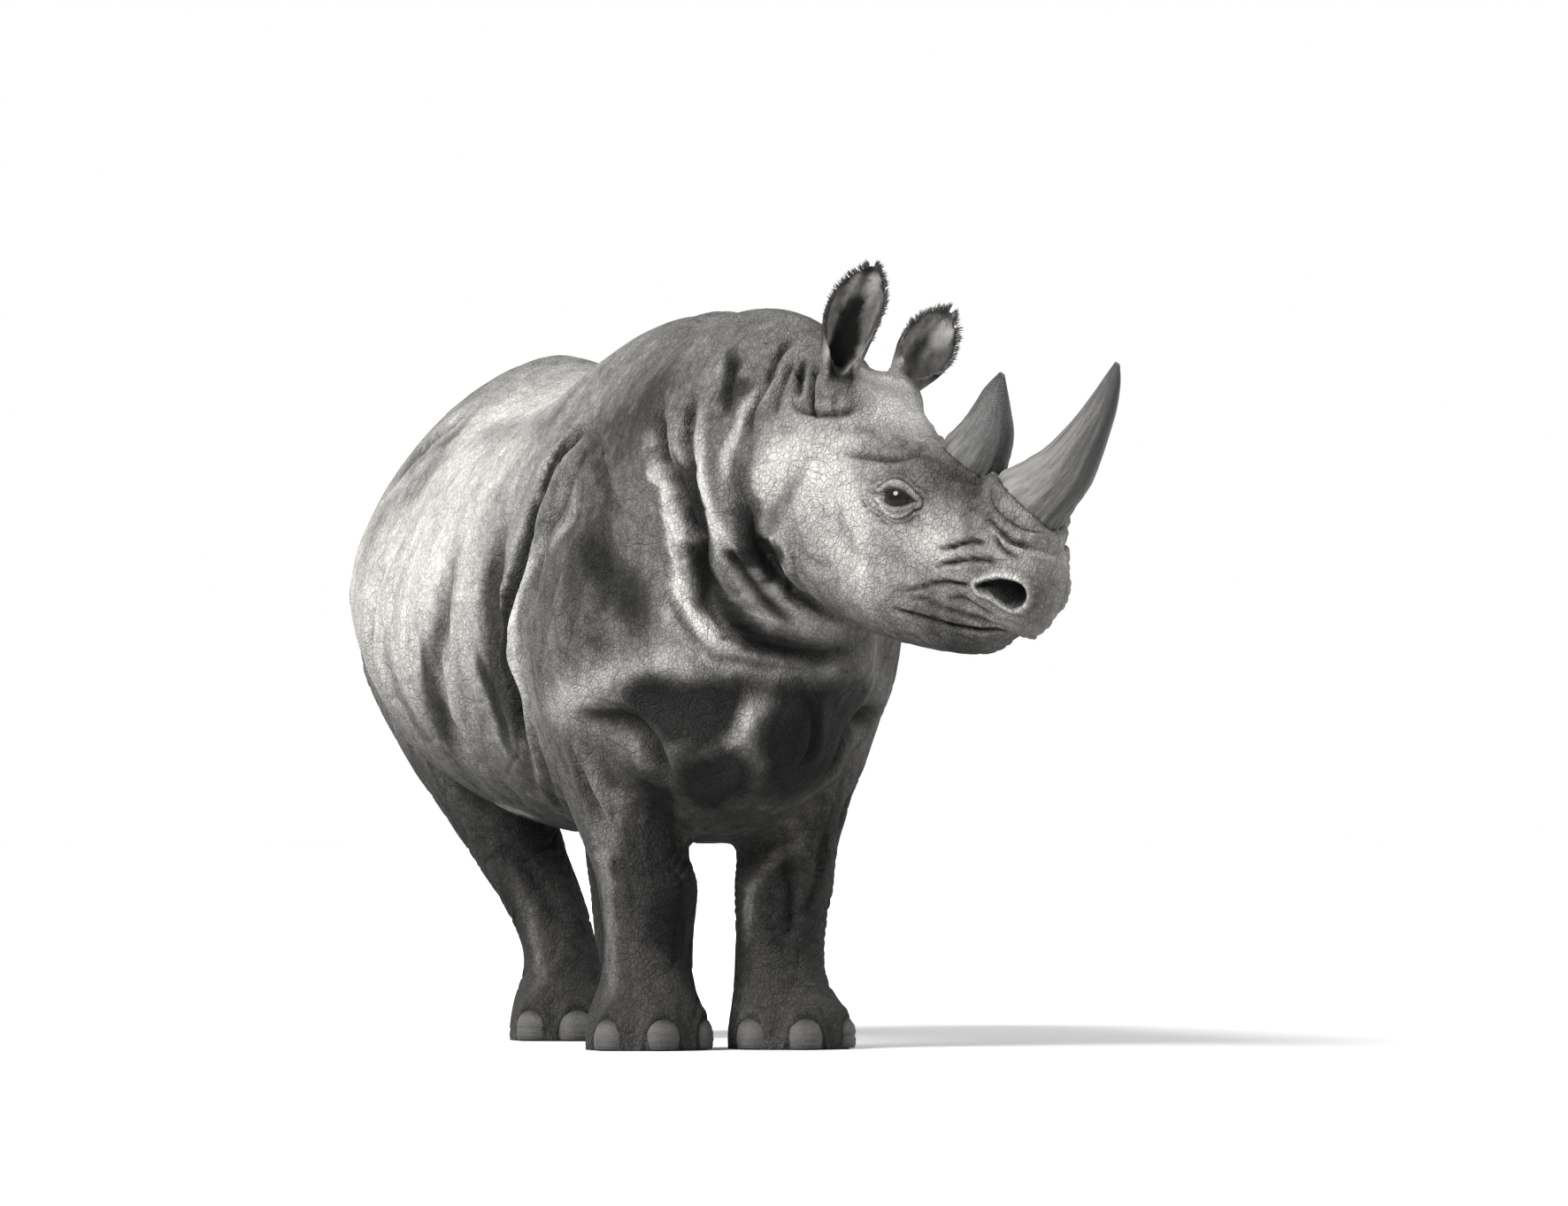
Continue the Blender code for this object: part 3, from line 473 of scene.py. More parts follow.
# Pleats of the hide, in metres: from crest to crest, and over the shoulder and the haunch the
# middle and span of the pleated part, the pleats' slope and their wave.
RIB_WAVE = 0.092
NECK_WAVE = 0.038
LEG_WAVE = 0.036
MUZZLE_WAVE = 0.019
BROW_WAVE = 0.022
PLEATED = ((0.30, 0.26, 0.55, 0.043), (1.60, 0.34, -0.45, 0.050))
CRACKLE = ((0.075, 13, 0.0036), (0.034, 14, 0.0020))  # grain, seed and depth of its valleys

# Tone of the hide, as painted light and shade, from -1 for dark painted shade to 1 for pale painted
# light with dust: centre x, y, z, radii, tone.  Each is repeated on the other side.
TONES = in_metres((
    (480, 1000, 1000, 400, 340, 360, 1),  # barrel
    (440, 1520, 1020, 300, 240, 280, 0.8),  # haunch
    (300, 1100, 1400, 340, 420, 160, 0.8),  # back
    (340, 330, 1120, 220, 160, 260, -0.32),  # shoulder blade
    (240, 140, 1380, 140, 120, 120, -0.55),  # side of the nape
    (0, 1000, 200, 1200, 2000, 420, -0.6),  # legs and belly
    (100, 0, 660, 250, 200, 150, -0.4),  # chest
    (100, 0, 940, 160, 160, 50, 0.45),  # throat
    (160, 1500, 450, 350, 500, 250, -0.35),  # hind leg
), 6)
# Painted light and shade on the head: along, up, out, radii along, up and out, tone.  Each is repeated
# on the other side.
HEAD_TONES = in_metres((
    (80, -200, 150, 110, 150, 120, 1.1),  # cheek
    (150, -240, 170, 45, 70, 80, -0.18),  # bruise-grey patch on the cheek
    (260, -150, 150, 120, 70, 80, 0.75),  # below the eye
    (320, -260, 140, 120, 60, 80, 0.7),  # side of the jaw
    (70, 20, 0, 110, 90, 90, 1.8),  # forehead
    (50, 20, 130, 50, 50, 40, -0.5),  # below the ear
    (400, 30, 60, 100, 40, 80, -0.35),  # between the horns
    (600, 40, 0, 90, 70, 140, 0.75),  # nose
    (670, -100, 0, 60, 60, 100, 0.5),  # front of the upper lip
    (550, -240, 0, 180, 50, 160, -0.45),  # lips and chin
    (430, -100, 120, 80, 80, 80, 0.75),  # side of the muzzle
), 6)
PALEST, PALER_HEAD = 0.80, 0.35  # the palest that the masses' painted light makes the hide, and how much more on the head
BROAD_STREAK = 0.034  # streaks at least this wide fade gently
LEFT_STREAKS = 0.5  # how strong the streaks that are mirrored to the left side are
# Streaks of painted light and shade that follow the folds: view and sides as for folds, half width,
# tone, points.
STREAKS = {
    "hip": ("flank", BOTH, 34, -0.5, (
        (1680, 1250), (1580, 1280), (1490, 1320), (1430, 1360), (1460, 1420))),
    "rump_front": ("flank", BOTH, 45, -0.4, (
        (1380, 1000), (1480, 1080), (1510, 1160), (1390, 1230), (1340, 1310), (1300, 1400))),
    "rib_middle": ("flank", BOTH, 40, -1, (
        (870, 1140), (870, 1050), (880, 950), (960, 850), (990, 760), (1030, 640), (1100, 550))),
    "rib_front": ("flank", BOTH, 44, -1, (
        (670, 1180), (680, 1080), (680, 970), (670, 850), (670, 740), (690, 620))),
    "rib_between": ("flank", BOTH, 26, -1.05, ((770, 890), (730, 810), (720, 730), (750, 600))),
    "rib_back": ("flank", BOTH, 32, -0.35, ((1230, 940), (1190, 830), (1140, 720), (1160, 620))),
    "loin": ("flank", BOTH, 45, -0.35, (
        (1310, 1280), (1200, 1340), (950, 1360), (700, 1370), (620, 1420))),
    "groove": ("flank", BOTH, 16, -0.9, GROOVE[:-1]),
    "hip_point": ("flank", RIGHT, 18, -0.5, (
        (1420, 1410), (1380, 1340), (1460, 1280), (1500, 1230))),
    "shoulder_wedge": ("free", BOTH, 46, -0.78, (
        (-330, 300, 1130), (-310, 200, 1060), (-280, 140, 1010), (-250, 90, 950),
        (-240, 70, 870))),
    "shoulder_band": ("free", BOTH, 34, -0.15, (
        (-290, 170, 1200), (-290, 210, 1120), (-350, 270, 1050), (-370, 290, 950))),
    "groove_lip": ("flank", BOTH, 22, 0.5, (
        (410, 1270), (440, 1180), (470, 1100), (510, 1020), (560, 930), (580, 840), (570, 770),
        (550, 720))),
    "blade_back": ("flank", BOTH, 24, -0.5, BLADE_BACK[:4]),
    "blade_lip": ("flank", BOTH, 20, 0.5, ((320, 1260), (340, 1190), (360, 1120), (390, 1060))),
    "blade": ("free", BOTH, 60, -0.12, (
        (-280, 330, 1310), (-290, 220, 1200), (-310, 220, 1080), (-300, 180, 990))),
    "arm_over_chest": ("free", BOTH, 36, 0.55, (
        (-370, 560, 760), (-370, 420, 740), (-340, 270, 770), (-280, 180, 810), (-230, 60, 840),
        (-140, 0, 820), (-70, 0, 780))),
    "chest_ridge": ("free", ONE, 30, 0.8, (
        (-70, 0, 780), (-60, 0, 710), (-100, 40, 640), (-140, 130, 580))),
    "breast": ("free", ONE, 34, 1, ((0, 0, 800), (-30, 0, 720), (-20, 40, 640), (10, 120, 550))),
    "neck_first_lip": ("free", ONE, 26, 0.9, (
        (-200, 20, 1480), (-230, 20, 1330), (-230, 0, 1200), (-200, 0, 1080), (-170, 0, 970),
        (-130, 0, 880), (-20, 0, 830), (120, 0, 810))),
    "neck_first": ("free", ONE, 32, -1.1, (
        (-220, 30, 1380), (-220, -20, 1270), (-200, -70, 1180), (-160, -70, 1080),
        (-130, -20, 990), (-60, 0, 930), (40, 0, 890), (140, 0, 870))),
    "neck_second_lip": ("free", ONE, 22, 0.85, (
        (-160, -70, 1400), (-180, -100, 1270), (-150, -120, 1140), (-100, -110, 1040),
        (20, -20, 950), (120, 0, 900))),
    "neck_second": ("free", ONE, 25, -1.1, (
        (-90, -210, 1330), (-110, -200, 1200), (-90, -170, 1100), (10, -40, 1020), (100, 0, 950))),
    "neck_third_lip": ("free", ONE, 14, 0.7, (
        (-30, -170, 1460), (-110, -170, 1360), (-140, -170, 1270), (-130, -170, 1200))),
    "neck_left_lip": ("free", ONE, 26, 0.4, (
        (240, 100, 1440), (300, 90, 1320), (330, 80, 1180), (330, 100, 1040))),
    "nape": ("free", ONE, 20, -0.7, (
        (-90, -50, 1520), (-105, -80, 1475), (-125, -120, 1410), (-140, -130, 1350))),
    "chest_pit": ("free", BOTH, 52, -1.1, (
        (-300, 260, 710), (-260, 190, 720), (-230, 110, 740), (-180, 60, 720), (-130, 20, 740),
        (-120, 30, 690), (-140, 70, 640))),
    "chest_low": ("free", ONE, 56, -1, (
        (-140, 220, 520), (-120, 110, 570), (-80, 60, 620), (-50, 30, 660))),
    "chest_left": ("free", ONE, 58, -0.9, (
        (230, 80, 800), (120, 10, 750), (80, 10, 700), (100, 70, 620), (160, 150, 590),
        (200, 170, 620), (270, 280, 650))),
    "chest_left_core": ("free", ONE, 48, -0.8, (
        (100, 10, 760), (130, 30, 700), (170, 100, 650), (220, 180, 620))),
    "arm_inner": ("free", ONE, 36, -0.95, (
        (-250, 270, 640), (-190, 240, 570), (-150, 320, 470), (-130, 300, 360), (-120, 320, 240),
        (-120, 320, 150))),
    "belly_front": ("free", ONE, 30, -0.6, ((-60, 60, 610), (-100, 120, 570), (-80, 200, 510))),
    "foreleg_right": ("free", ONE, 32, 0.34, (
        (-330, 350, 680), (-290, 350, 590), (-260, 360, 470), (-250, 380, 360), (-240, 400, 240),
        (-250, 380, 130), (-270, 350, 70))),
    "foreleg_right_front": ("free", ONE, 28, -0.25, (
        (-240, 320, 550), (-220, 330, 450), (-210, 310, 360), (-210, 330, 260))),
    "foreleg_left": ("free", ONE, 18, 0.4, (
        (60, 390, 180), (60, 370, 280), (80, 330, 380), (140, 320, 440), (210, 320, 480))),
    "foreleg_left_front": ("free", ONE, 34, -0.3, (
        (120, 320, 170), (120, 320, 260), (120, 300, 360), (170, 320, 430))),
    "hindleg_right": ("free", ONE, 24, 0.45, (
        (-220, 1360, 430), (-180, 1320, 340), (-150, 1290, 240), (-150, 1240, 150),
        (-170, 1200, 60))),
    "belly_low": ("free", BOTH, 28, 0.8, (
        (-260, 1370, 540), (-260, 1200, 520), (-260, 1060, 510), (-200, 980, 480))),
}


# ---------------------------------------------------------------- surfaces on grids
def eased(stations, per_span):
    """A Catmull-Rom curve through the rows of a table, with per_span rows for each span.

    Between rows b and c, with neighbours a and d: b + t(c-a)/2 + t^2(2a-5b+4c-d)/2 + t^3(3b-a-3c+d)/2.
    """
    table = np.array(stations, float)
    ends = np.vstack([2 * table[0] - table[1], table, 2 * table[-1] - table[-2]])
    a, b, c, d = (ends[k : len(table) - 1 + k, None] for k in range(4))
    t = (np.arange(per_span) / per_span)[None, :, None]
    rows = b + 0.5 * t * (c - a) + 0.5 * t**2 * (2 * a - 5 * b + 4 * c - d)
    rows = rows + 0.5 * t**3 * (3 * b - a - 3 * c + d)
    return np.vstack([rows.reshape(-1, table.shape[1]), table[-1:]])


def oval_tube(sections, around, per_span=8):
    """A grid of points over sections: row u, angle v of an oval with powers of sine and cosine.

    Point = centre + left * width * cos(v)^(2/square) + up * height * sin(v)^(2/square).
    """
    rows = eased(sections, per_span)
    left, _, top = axes_of(rows[:, 3], rows[:, 4])
    angle = np.arange(around) * 2 * math.pi / around
    cosine, sine = np.cos(angle)[None], np.sin(angle)[None]
    upper = sine >= 0
    power = 2.0 / np.where(upper, rows[:, 8:9], rows[:, 9:10])
    across = rows[:, 5:6] * np.sign(cosine) * np.abs(cosine) ** power
    rise = np.where(upper, rows[:, 6:7], rows[:, 7:8]) * np.sign(sine) * np.abs(sine) ** power
    return rows[:, None, :3] + across[..., None] * left[:, None] + rise[..., None] * top[:, None]


def egg(middle, radii, axes, around=40, rings=24):
    """A grid over an ellipsoid: middle + radii * (sin u cos v, sin u sin v, cos u) in its axes."""
    u = (np.arange(rings) + 0.5)[:, None] * math.pi / rings
    v = np.arange(around)[None] * 2 * math.pi / around
    ball = np.stack([np.sin(u) * np.cos(v), np.sin(u) * np.sin(v), np.cos(u) + 0 * v], axis=-1)
    return middle + (ball * np.array(radii)) @ np.array(axes)


def tube_faces(rows, around):
    """Quads between the rings of a closed tube, and fans that close its two ends."""
    ring, step = np.meshgrid(np.arange(rows - 1), np.arange(around), indexing="ij")
    after = (step + 1) % around
    quads = np.stack([ring * around + step, ring * around + after,
                      (ring + 1) * around + after, (ring + 1) * around + step], axis=-1)
    one = np.arange(around)
    two = (one + 1) % around
    first = np.stack([np.full(around, rows * around), two, one], axis=-1)
    base = (rows - 1) * around
    last = np.stack([np.full(around, rows * around + 1), base + one, base + two], axis=-1)
    return quads.reshape(-1, 4).tolist(), np.vstack([first, last]).tolist()


def tube_points(grid):
    """The points of a tube's grid, with the middle of each end ring added."""
    return np.vstack([grid.reshape(-1, 3), grid[0].mean(0), grid[-1].mean(0)])


def joined_tubes(grids):
    """Points and faces of several closed tubes together."""
    points, faces, count = [], [], 0
    for grid in grids:
        own = tube_points(grid)
        for group in tube_faces(*grid.shape[:2]):
            faces += (np.array(group) + count).tolist()
        points.append(own)
        count += len(own)
    return np.vstack(points), faces


@contextlib.contextmanager
def opened(mesh):
    """A mesh's points, edges and faces, open for changes that are written back at the end."""
    shape = bmesh.new()
    shape.from_mesh(mesh)
    yield shape
    shape.to_mesh(mesh)
    shape.free()


def new_object(name, points, faces):
    """An object with these points and faces, turned outwards, at the origin."""
    mesh = bpy.data.meshes.new(name)
    mesh.from_pydata(points.tolist(), [], faces)
    with opened(mesh) as shape:
        bmesh.ops.recalc_face_normals(shape, faces=shape.faces)
    made = bpy.data.objects.new(name, mesh)
    bpy.context.scene.collection.objects.link(made)
    return made


def tube(name, grid, middle=0.0):
    """A closed tube over a grid round a middle, as an object."""
    return new_object(name, middle + tube_points(grid), sum(tube_faces(*grid.shape[:2]), []))


def triples(items, name):
    """A vector that each of a mesh's items carries under a name, as the rows of an array."""
    flat = np.empty(len(items) * 3, np.float32)
    items.foreach_get(name, flat)
    return flat.reshape(-1, 3).astype(float)


def read_points(mesh):
    """A mesh's points as an array."""
    return triples(mesh.vertices, "co")


def read_normals(mesh):
    """A mesh's point normals as an array."""
    return triples(mesh.vertex_normals, "vector")


def write_points(mesh, points):
    """Puts an array back into a mesh."""
    mesh.vertices.foreach_set("co", points.astype(np.float32).ravel())
    mesh.update()


def store(mesh, name, values):
    """Keeps a number for every point of a mesh."""
    layer = mesh.attributes.get(name) or mesh.attributes.new(name, "FLOAT", "POINT")
    layer.data.foreach_set("value", np.asarray(values, np.float32))


def settled(obj):
    """Replaces an object's modifiers by the mesh that they give."""
    graph = bpy.context.evaluated_depsgraph_get()
    mesh = bpy.data.meshes.new_from_object(obj.evaluated_get(graph))
    obj.modifiers.clear()
    obj.data = mesh


# ---------------------------------------------------------------- fields over space
def smooth_step(values, low, high):
    """0 below low, 1 above high, eased between: t * t * (3 - 2t)."""
    t = np.clip((values - low) / (high - low), 0.0, 1.0)
    return t * t * (3 - 2 * t)


def bell(distance, width):
    """A bell curve: exp(-(distance / width) squared)."""
    return np.exp(-((distance / width) ** 2))


def lattice_noise(points, scale, seed):
    """Smooth noise from -1 to 1: chance values on a cubic lattice, blended by an eased step."""
    size = 64
    chance = np.random.default_rng(seed).uniform(-1, 1, (size, size, size))
    place = points / scale
    cell = np.floor(place).astype(int)
    part = place - cell
    part = part * part * (3 - 2 * part)
    total = np.zeros(len(points))
    for corner in itertools.product((0, 1), repeat=3):
        weight = np.prod(np.where(corner, part, 1 - part), axis=1)
        index = (cell + corner) % size
        total += weight * chance[index[:, 0], index[:, 1], index[:, 2]]
    return total


def masses(points, table):
    """The sum of soft masses: swell * exp(-squared distance measured in radii)."""
    total = np.zeros(len(points))
    for *middle, a, b, c, swell in table:
        away = (points - middle) / (a, b, c)
        total += swell * np.exp(-(away**2).sum(1))
    return total


def both_sides(table, axis):
    """A table of masses, with each one off the middle repeated on the other side."""
    mirrored = [(*row[:axis], -row[axis], *row[axis + 1 :]) for row in table if row[axis] > 0]
    return list(table) + mirrored


def head_places(points):
    """Along, up and out of points in the head's frame."""
    away = points - POLL
    return np.stack([away @ HEAD_FORWARD, away @ HEAD_UP, away @ HEAD_LEFT], axis=-1)


# ---------------------------------------------------------------- the melted skin
def head_sections(table):
    """Rows of a head table as full sections."""
    return [(*in_head(along, up), HEAD_YAW, HEAD_PITCH, *cut) for along, up, *cut in table]


def leg_sections(table, foot, side):
    """Rows of a leg table as full sections: level cuts that face down the leg."""
    return [(foot[0] + side * out, foot[1] + back, height, 0, 90, *cut, LEG_SQUARE, LEG_SQUARE)
            for out, back, height, *cut in table]


def ear_frame(side):
    """The ear's root, its length, and its axes: across, to its back, and along."""
    along, up, out = EAR_ROOT
    reach = np.array(EAR_REACH[side])
    length = np.linalg.norm(reach)
    axis = reach / length
    facing = np.array(EAR_FACING[side])
    back = -unit(facing - axis * facing.dot(axis))
    return in_head(along, up, side * out), length, np.stack([np.cross(back, axis), back, axis])


def ear_grid(side, around=44, per_span=8):
    """The ear as a bent wall: at each share of its length an arc goes round the back and returns.

    Outer arc = (w sin a, bow + d cos a), inner arc the same with w and d less the wall, for a from
    -reach to reach; near the head the wall is as thick as the ear, so that the cup has a floor.
    """
    root, length, axes = ear_frame(side)
    rows = eased(EAR, per_span)
    share, wide, deep, bow, reach = rows.T[:, :, None]
    wall = np.interp(share, (0.05, 0.26), (1.0, 0.0)) * (wide - EAR_WALL) + EAR_WALL
    wall = np.minimum(wall, wide * 0.92)
    turn = np.linspace(-1, 1, around // 2)[None] * np.radians(reach)
    inner_deep = np.maximum(deep - wall, 0.0)
    outer = np.stack([wide * np.sin(turn), bow + deep * np.cos(turn)], axis=-1)
    inner = np.stack([(wide - wall) * np.sin(turn), bow + inner_deep * np.cos(turn)], axis=-1)
    ring = np.concatenate([outer, inner[:, ::-1]], axis=1)
    ring[..., 0] += EAR_LEAN[side] * share**2
    height = np.broadcast_to(share[..., None] * length, ring[..., :1].shape)
    return root + np.concatenate([ring, height], axis=-1) @ axes


def skin_grids():
    """The grids of every loft and mass that melts into the skin."""
    yield oval_tube(TRUNK, 96)
    yield oval_tube(NECK, 80)
    yield oval_tube(head_sections(SKULL), 72)
    yield oval_tube(head_sections(JAW), 64)
    tail = [(x, y, z, 0, 75, wide, thick, thick, 2, 2) for x, y, z, wide, thick in TAIL]
    yield oval_tube(tail, 24)
    for side in SIDES:
        yield oval_tube(leg_sections(FRONT_LEG, FRONT_FOOT[side], side), 56)
        yield oval_tube(leg_sections(HIND_LEG[side], HIND_FOOT[side], side), 56)
        yield ear_grid(side)
        for along, up, out, *radii in HEAD_MASSES:
            yield egg(in_head(along, up, side * out), radii, (HEAD_LEFT, HEAD_FORWARD, HEAD_UP))


def ear_share(points, side):
    """How far along the ear a point is, as a share of its length (-1 away from it), and across it."""
    root, length, axes = ear_frame(side)
    across, back, along = ((points - root) @ axes.T).T
    near = (np.abs(across) < 0.10) & (np.abs(back) < 0.09) & (along < length * 1.15)
    return np.where(near, along / length, -1.0), across


def melted_skin():
    """The lofts and masses melted into one closed surface, which reaches just below the floor."""
    skin = new_object("skin", *joined_tubes(skin_grids()))
    melt = skin.modifiers.new("melt", "REMESH")
    melt.mode = "VOXEL"
    melt.voxel_size = VOXEL
    settled(skin)
    points = read_points(skin.data)
    ears = np.maximum(*(ear_share(points, side)[0] for side in SIDES))
    group = skin.vertex_groups.new(name="melt")
    levels = np.round((1 - smooth_step(ears, 0.0, 0.22)) * 10).astype(int)
    for level in range(1, 11):
        group.add(np.flatnonzero(levels == level).tolist(), level / 10, "REPLACE")
    for name, steps, weights in (("ease", MELT_STEPS, "melt"), ("even", EVEN_STEPS, "")):
        soften = skin.modifiers.new(name, "SMOOTH")
        soften.factor = 0.5
        soften.iterations = steps
        soften.vertex_group = weights
    settled(skin)
    skin.vertex_groups.clear()
    return skin


def cut_at_floor(mesh):
    """Cuts off what lies below the floor and closes each sole."""
    with opened(mesh) as shape:
        whole = [*shape.verts, *shape.edges, *shape.faces]
        done = bmesh.ops.bisect_plane(
            shape, geom=whole, plane_co=(0, 0, 0), plane_no=(0, 0, 1), clear_inner=True, dist=1e-5
        )
        rim = [one for one in done["geom_cut"] if isinstance(one, bmesh.types.BMEdge)]
        bmesh.ops.edgeloop_fill(shape, edges=rim)


def refine(shape, zones):
    """Splits the edges that lie inside any of the round zones (middle, radius)."""
    points = np.array([one.co for one in shape.verts])
    inside = np.zeros(len(points), bool)
    for middle, radius in zones:
        inside |= ((points - middle) ** 2).sum(1) < radius**2
    shape.verts.ensure_lookup_table()
    edges = [e for e in shape.edges if inside[e.verts[0].index] and inside[e.verts[1].index]]
    bmesh.ops.subdivide_edges(shape, edges=edges, cuts=1, use_grid_fill=True)
    shape.verts.index_update()


# ---------------------------------------------------------------- sculpting
def skin_tree(mesh):
    """A search tree over the skin."""
    shape = bmesh.new()
    shape.from_mesh(mesh)
    tree = BVHTree.FromBMesh(shape)
    shape.free()
    return tree


def lines_of(table):
    """Each line of a table on each of its sides: name, view, side, numbers, points in metres."""
    for name, (view, sides, *numbers, path) in table.items():
        for side in sides:
            yield name, view, side, numbers, [np.array(point) / MM for point in path]


def laid_on_skin(tree, view, side, points):
    """The places on the skin of a line's points.

    Free points are given for the right side; on the head a third number is how far out they lie.
    """
    places = []
    for point in points:
        if view == "free":
            mirror = -1 if side == 1 else 1
            place = tree.find_nearest(Vector(point) * Vector((mirror, 1, 1)))[0]
        elif len(point) == 3:
            place = tree.find_nearest(Vector(in_head(*point[:2], side * point[2])))[0]
        elif view == "flank":
            place = tree.ray_cast(Vector((side * 2.0, *point)), Vector((-side, 0, 0)))[0]
        else:
            start = Vector(in_head(*point, side * 0.6))
            place = tree.ray_cast(start, Vector(HEAD_LEFT * -side))[0]
        if place is not None:
            places.append(place)
    return np.array(places)


def fold_line(tree, view, side, points):
    """A dense line on the skin through a fold's points, with its tangents and the skin's normals."""
    places = laid_on_skin(tree, view, side, points)
    reach = np.linalg.norm(np.diff(places, axis=0), axis=1).max()
    line = eased(places, max(3, int(reach / LINE_SPACING)))
    nearest = [tree.find_nearest(Vector(one))[:2] for one in line]
    line = np.array([one for one, _ in nearest])
    normals = unit(np.array([normal for _, normal in nearest]))
    return line, unit(np.gradient(line, axis=0)), normals


def across_line(points, line, tangents, normals, reach):
    """For points near a line: which they are, how far across it, and their share along it.

    The last array is each one's way across the line.
    """
    low, high = line.min(0) - reach, line.max(0) + reach
    near = np.flatnonzero(((points > low) & (points < high)).all(1))
    if len(near) == 0:
        return near, near, near, near
    own = points[near]
    squared = (own**2).sum(1)[:, None] - 2 * own @ line.T + (line**2).sum(1)[None]
    best = squared.argmin(1)
    keep = squared[np.arange(len(near)), best] < reach**2
    near, own, best = near[keep], own[keep], best[keep]
    away = own - line[best]
    along = (away * tangents[best]).sum(1)
    sideways = np.cross(normals[best], tangents[best])
    across = (away * sideways).sum(1)
    spacing = np.linalg.norm(np.diff(line, axis=0), axis=1).mean()
    beyond = np.maximum(np.abs(along) - spacing, 0.0)
    share = np.clip((best + along / spacing) / (len(line) - 1), 0, 1)
    return near, np.hypot(across, beyond) * np.where(across < 0, -1, 1), share, sideways


def fading(share, run):
    """1 along a line, eased down to 0 over the run at each of its ends."""
    return smooth_step(share, 0, run) * (1 - smooth_step(share, 1 - run, 1))


def two_lips(s, apart, wide, lower):
    """The lips on both sides of a line: bell((s - apart) / wide) + lower bell((s + apart) / wide)."""
    return bell(s - apart, wide) + lower * bell(s + apart, wide)


def press_folds(points, normals, tree):
    """Presses in every fold; also the painted shade in each groove, and the painted highlight and dust
    on its lips.

    Across a fold at distance s: -depth * bell(s / w) + lift * lips, fading over the ends; the upper
    lip also moves towards the line.  Beside a broad fold lie wrinkles, cos(2 pi s / 0.95w) *
    bell(s / 3w), its painted shade has a sharper edge, and painted highlight with dust lies on its lips.
    """
    moved = np.zeros_like(points)
    crease_shade, dust_and_painted_light = np.zeros(len(points)), np.zeros(len(points))
    wobble = 1 + 0.45 * lattice_noise(points, 0.07, 5)
    sway = lattice_noise(points, 0.06, 6)
    for name, view, side, sizes, path in lines_of(FOLDS):
        width, depth, lift, lean = np.array(sizes) / MM
        line = fold_line(tree, view, side, path)
        near, s, share, sideways = across_line(points, *line, width * 5)
        s = s + 0.35 * width * sway[near]
        fade = fading(share, 0.25) * wobble[near]
        if name in OPEN_IN_FRONT:
            fade = 1 - smooth_step(share, 0.84, 1)
        dark = groove = bell(s, width) * fade
        rise = -depth * groove + lift * two_lips(s, 2 * width, 1.4 * width, 0.6) * fade
        darkness = np.clip((depth / width - 0.3) / 1.2, 0, 1)
        if width >= BROAD_FOLD and depth > 0:
            beside = np.cos(2 * math.pi * s / (0.95 * width)) * bell(s, 3 * width) * fade
            rise += WRINKLE_BESIDE * beside * (1 - bell(s, width))
            dark = smooth_step(groove, 0.10, 0.95)
            lip = two_lips(s, 1.8 * width, 0.7 * width, 0.5) * fade
            dust_and_painted_light[near] = np.maximum(dust_and_painted_light[near], lip * darkness)
        shove = lean * bell(s - width, 1.3 * width) * fade
        moved[near] += normals[near] * rise[:, None] - sideways * shove[:, None]
        crease_shade[near] = np.maximum(crease_shade[near], dark * darkness)
    return points + moved, crease_shade, dust_and_painted_light


def eye_axes(middle, tree):
    """The way an eye faces, the way its slit runs to the front, and across the slit."""
    facing = unit(np.array(tree.find_nearest(Vector(middle))[1]))
    tilt = math.radians(SLIT_TILT)
    slit = HEAD_FORWARD * math.cos(tilt) + HEAD_UP * math.sin(tilt)
    slit = unit(slit - facing * slit.dot(facing))
    rise = HEAD_UP - facing * HEAD_UP.dot(facing)
    rise = unit(rise - slit * rise.dot(slit))
    return facing, slit, rise


def slit_distance(p, q):
    """How far outside the almond between the lids a place lies: |q| - h (1 - (p/l)^2)^0.75."""
    length, height = SLIT
    edge = height * np.clip(1 - (p / length) ** 2, 0, 1) ** 0.75
    inside = np.abs(p) < length
    return np.where(inside, np.abs(q) - edge, np.hypot(np.abs(p) - length, q))


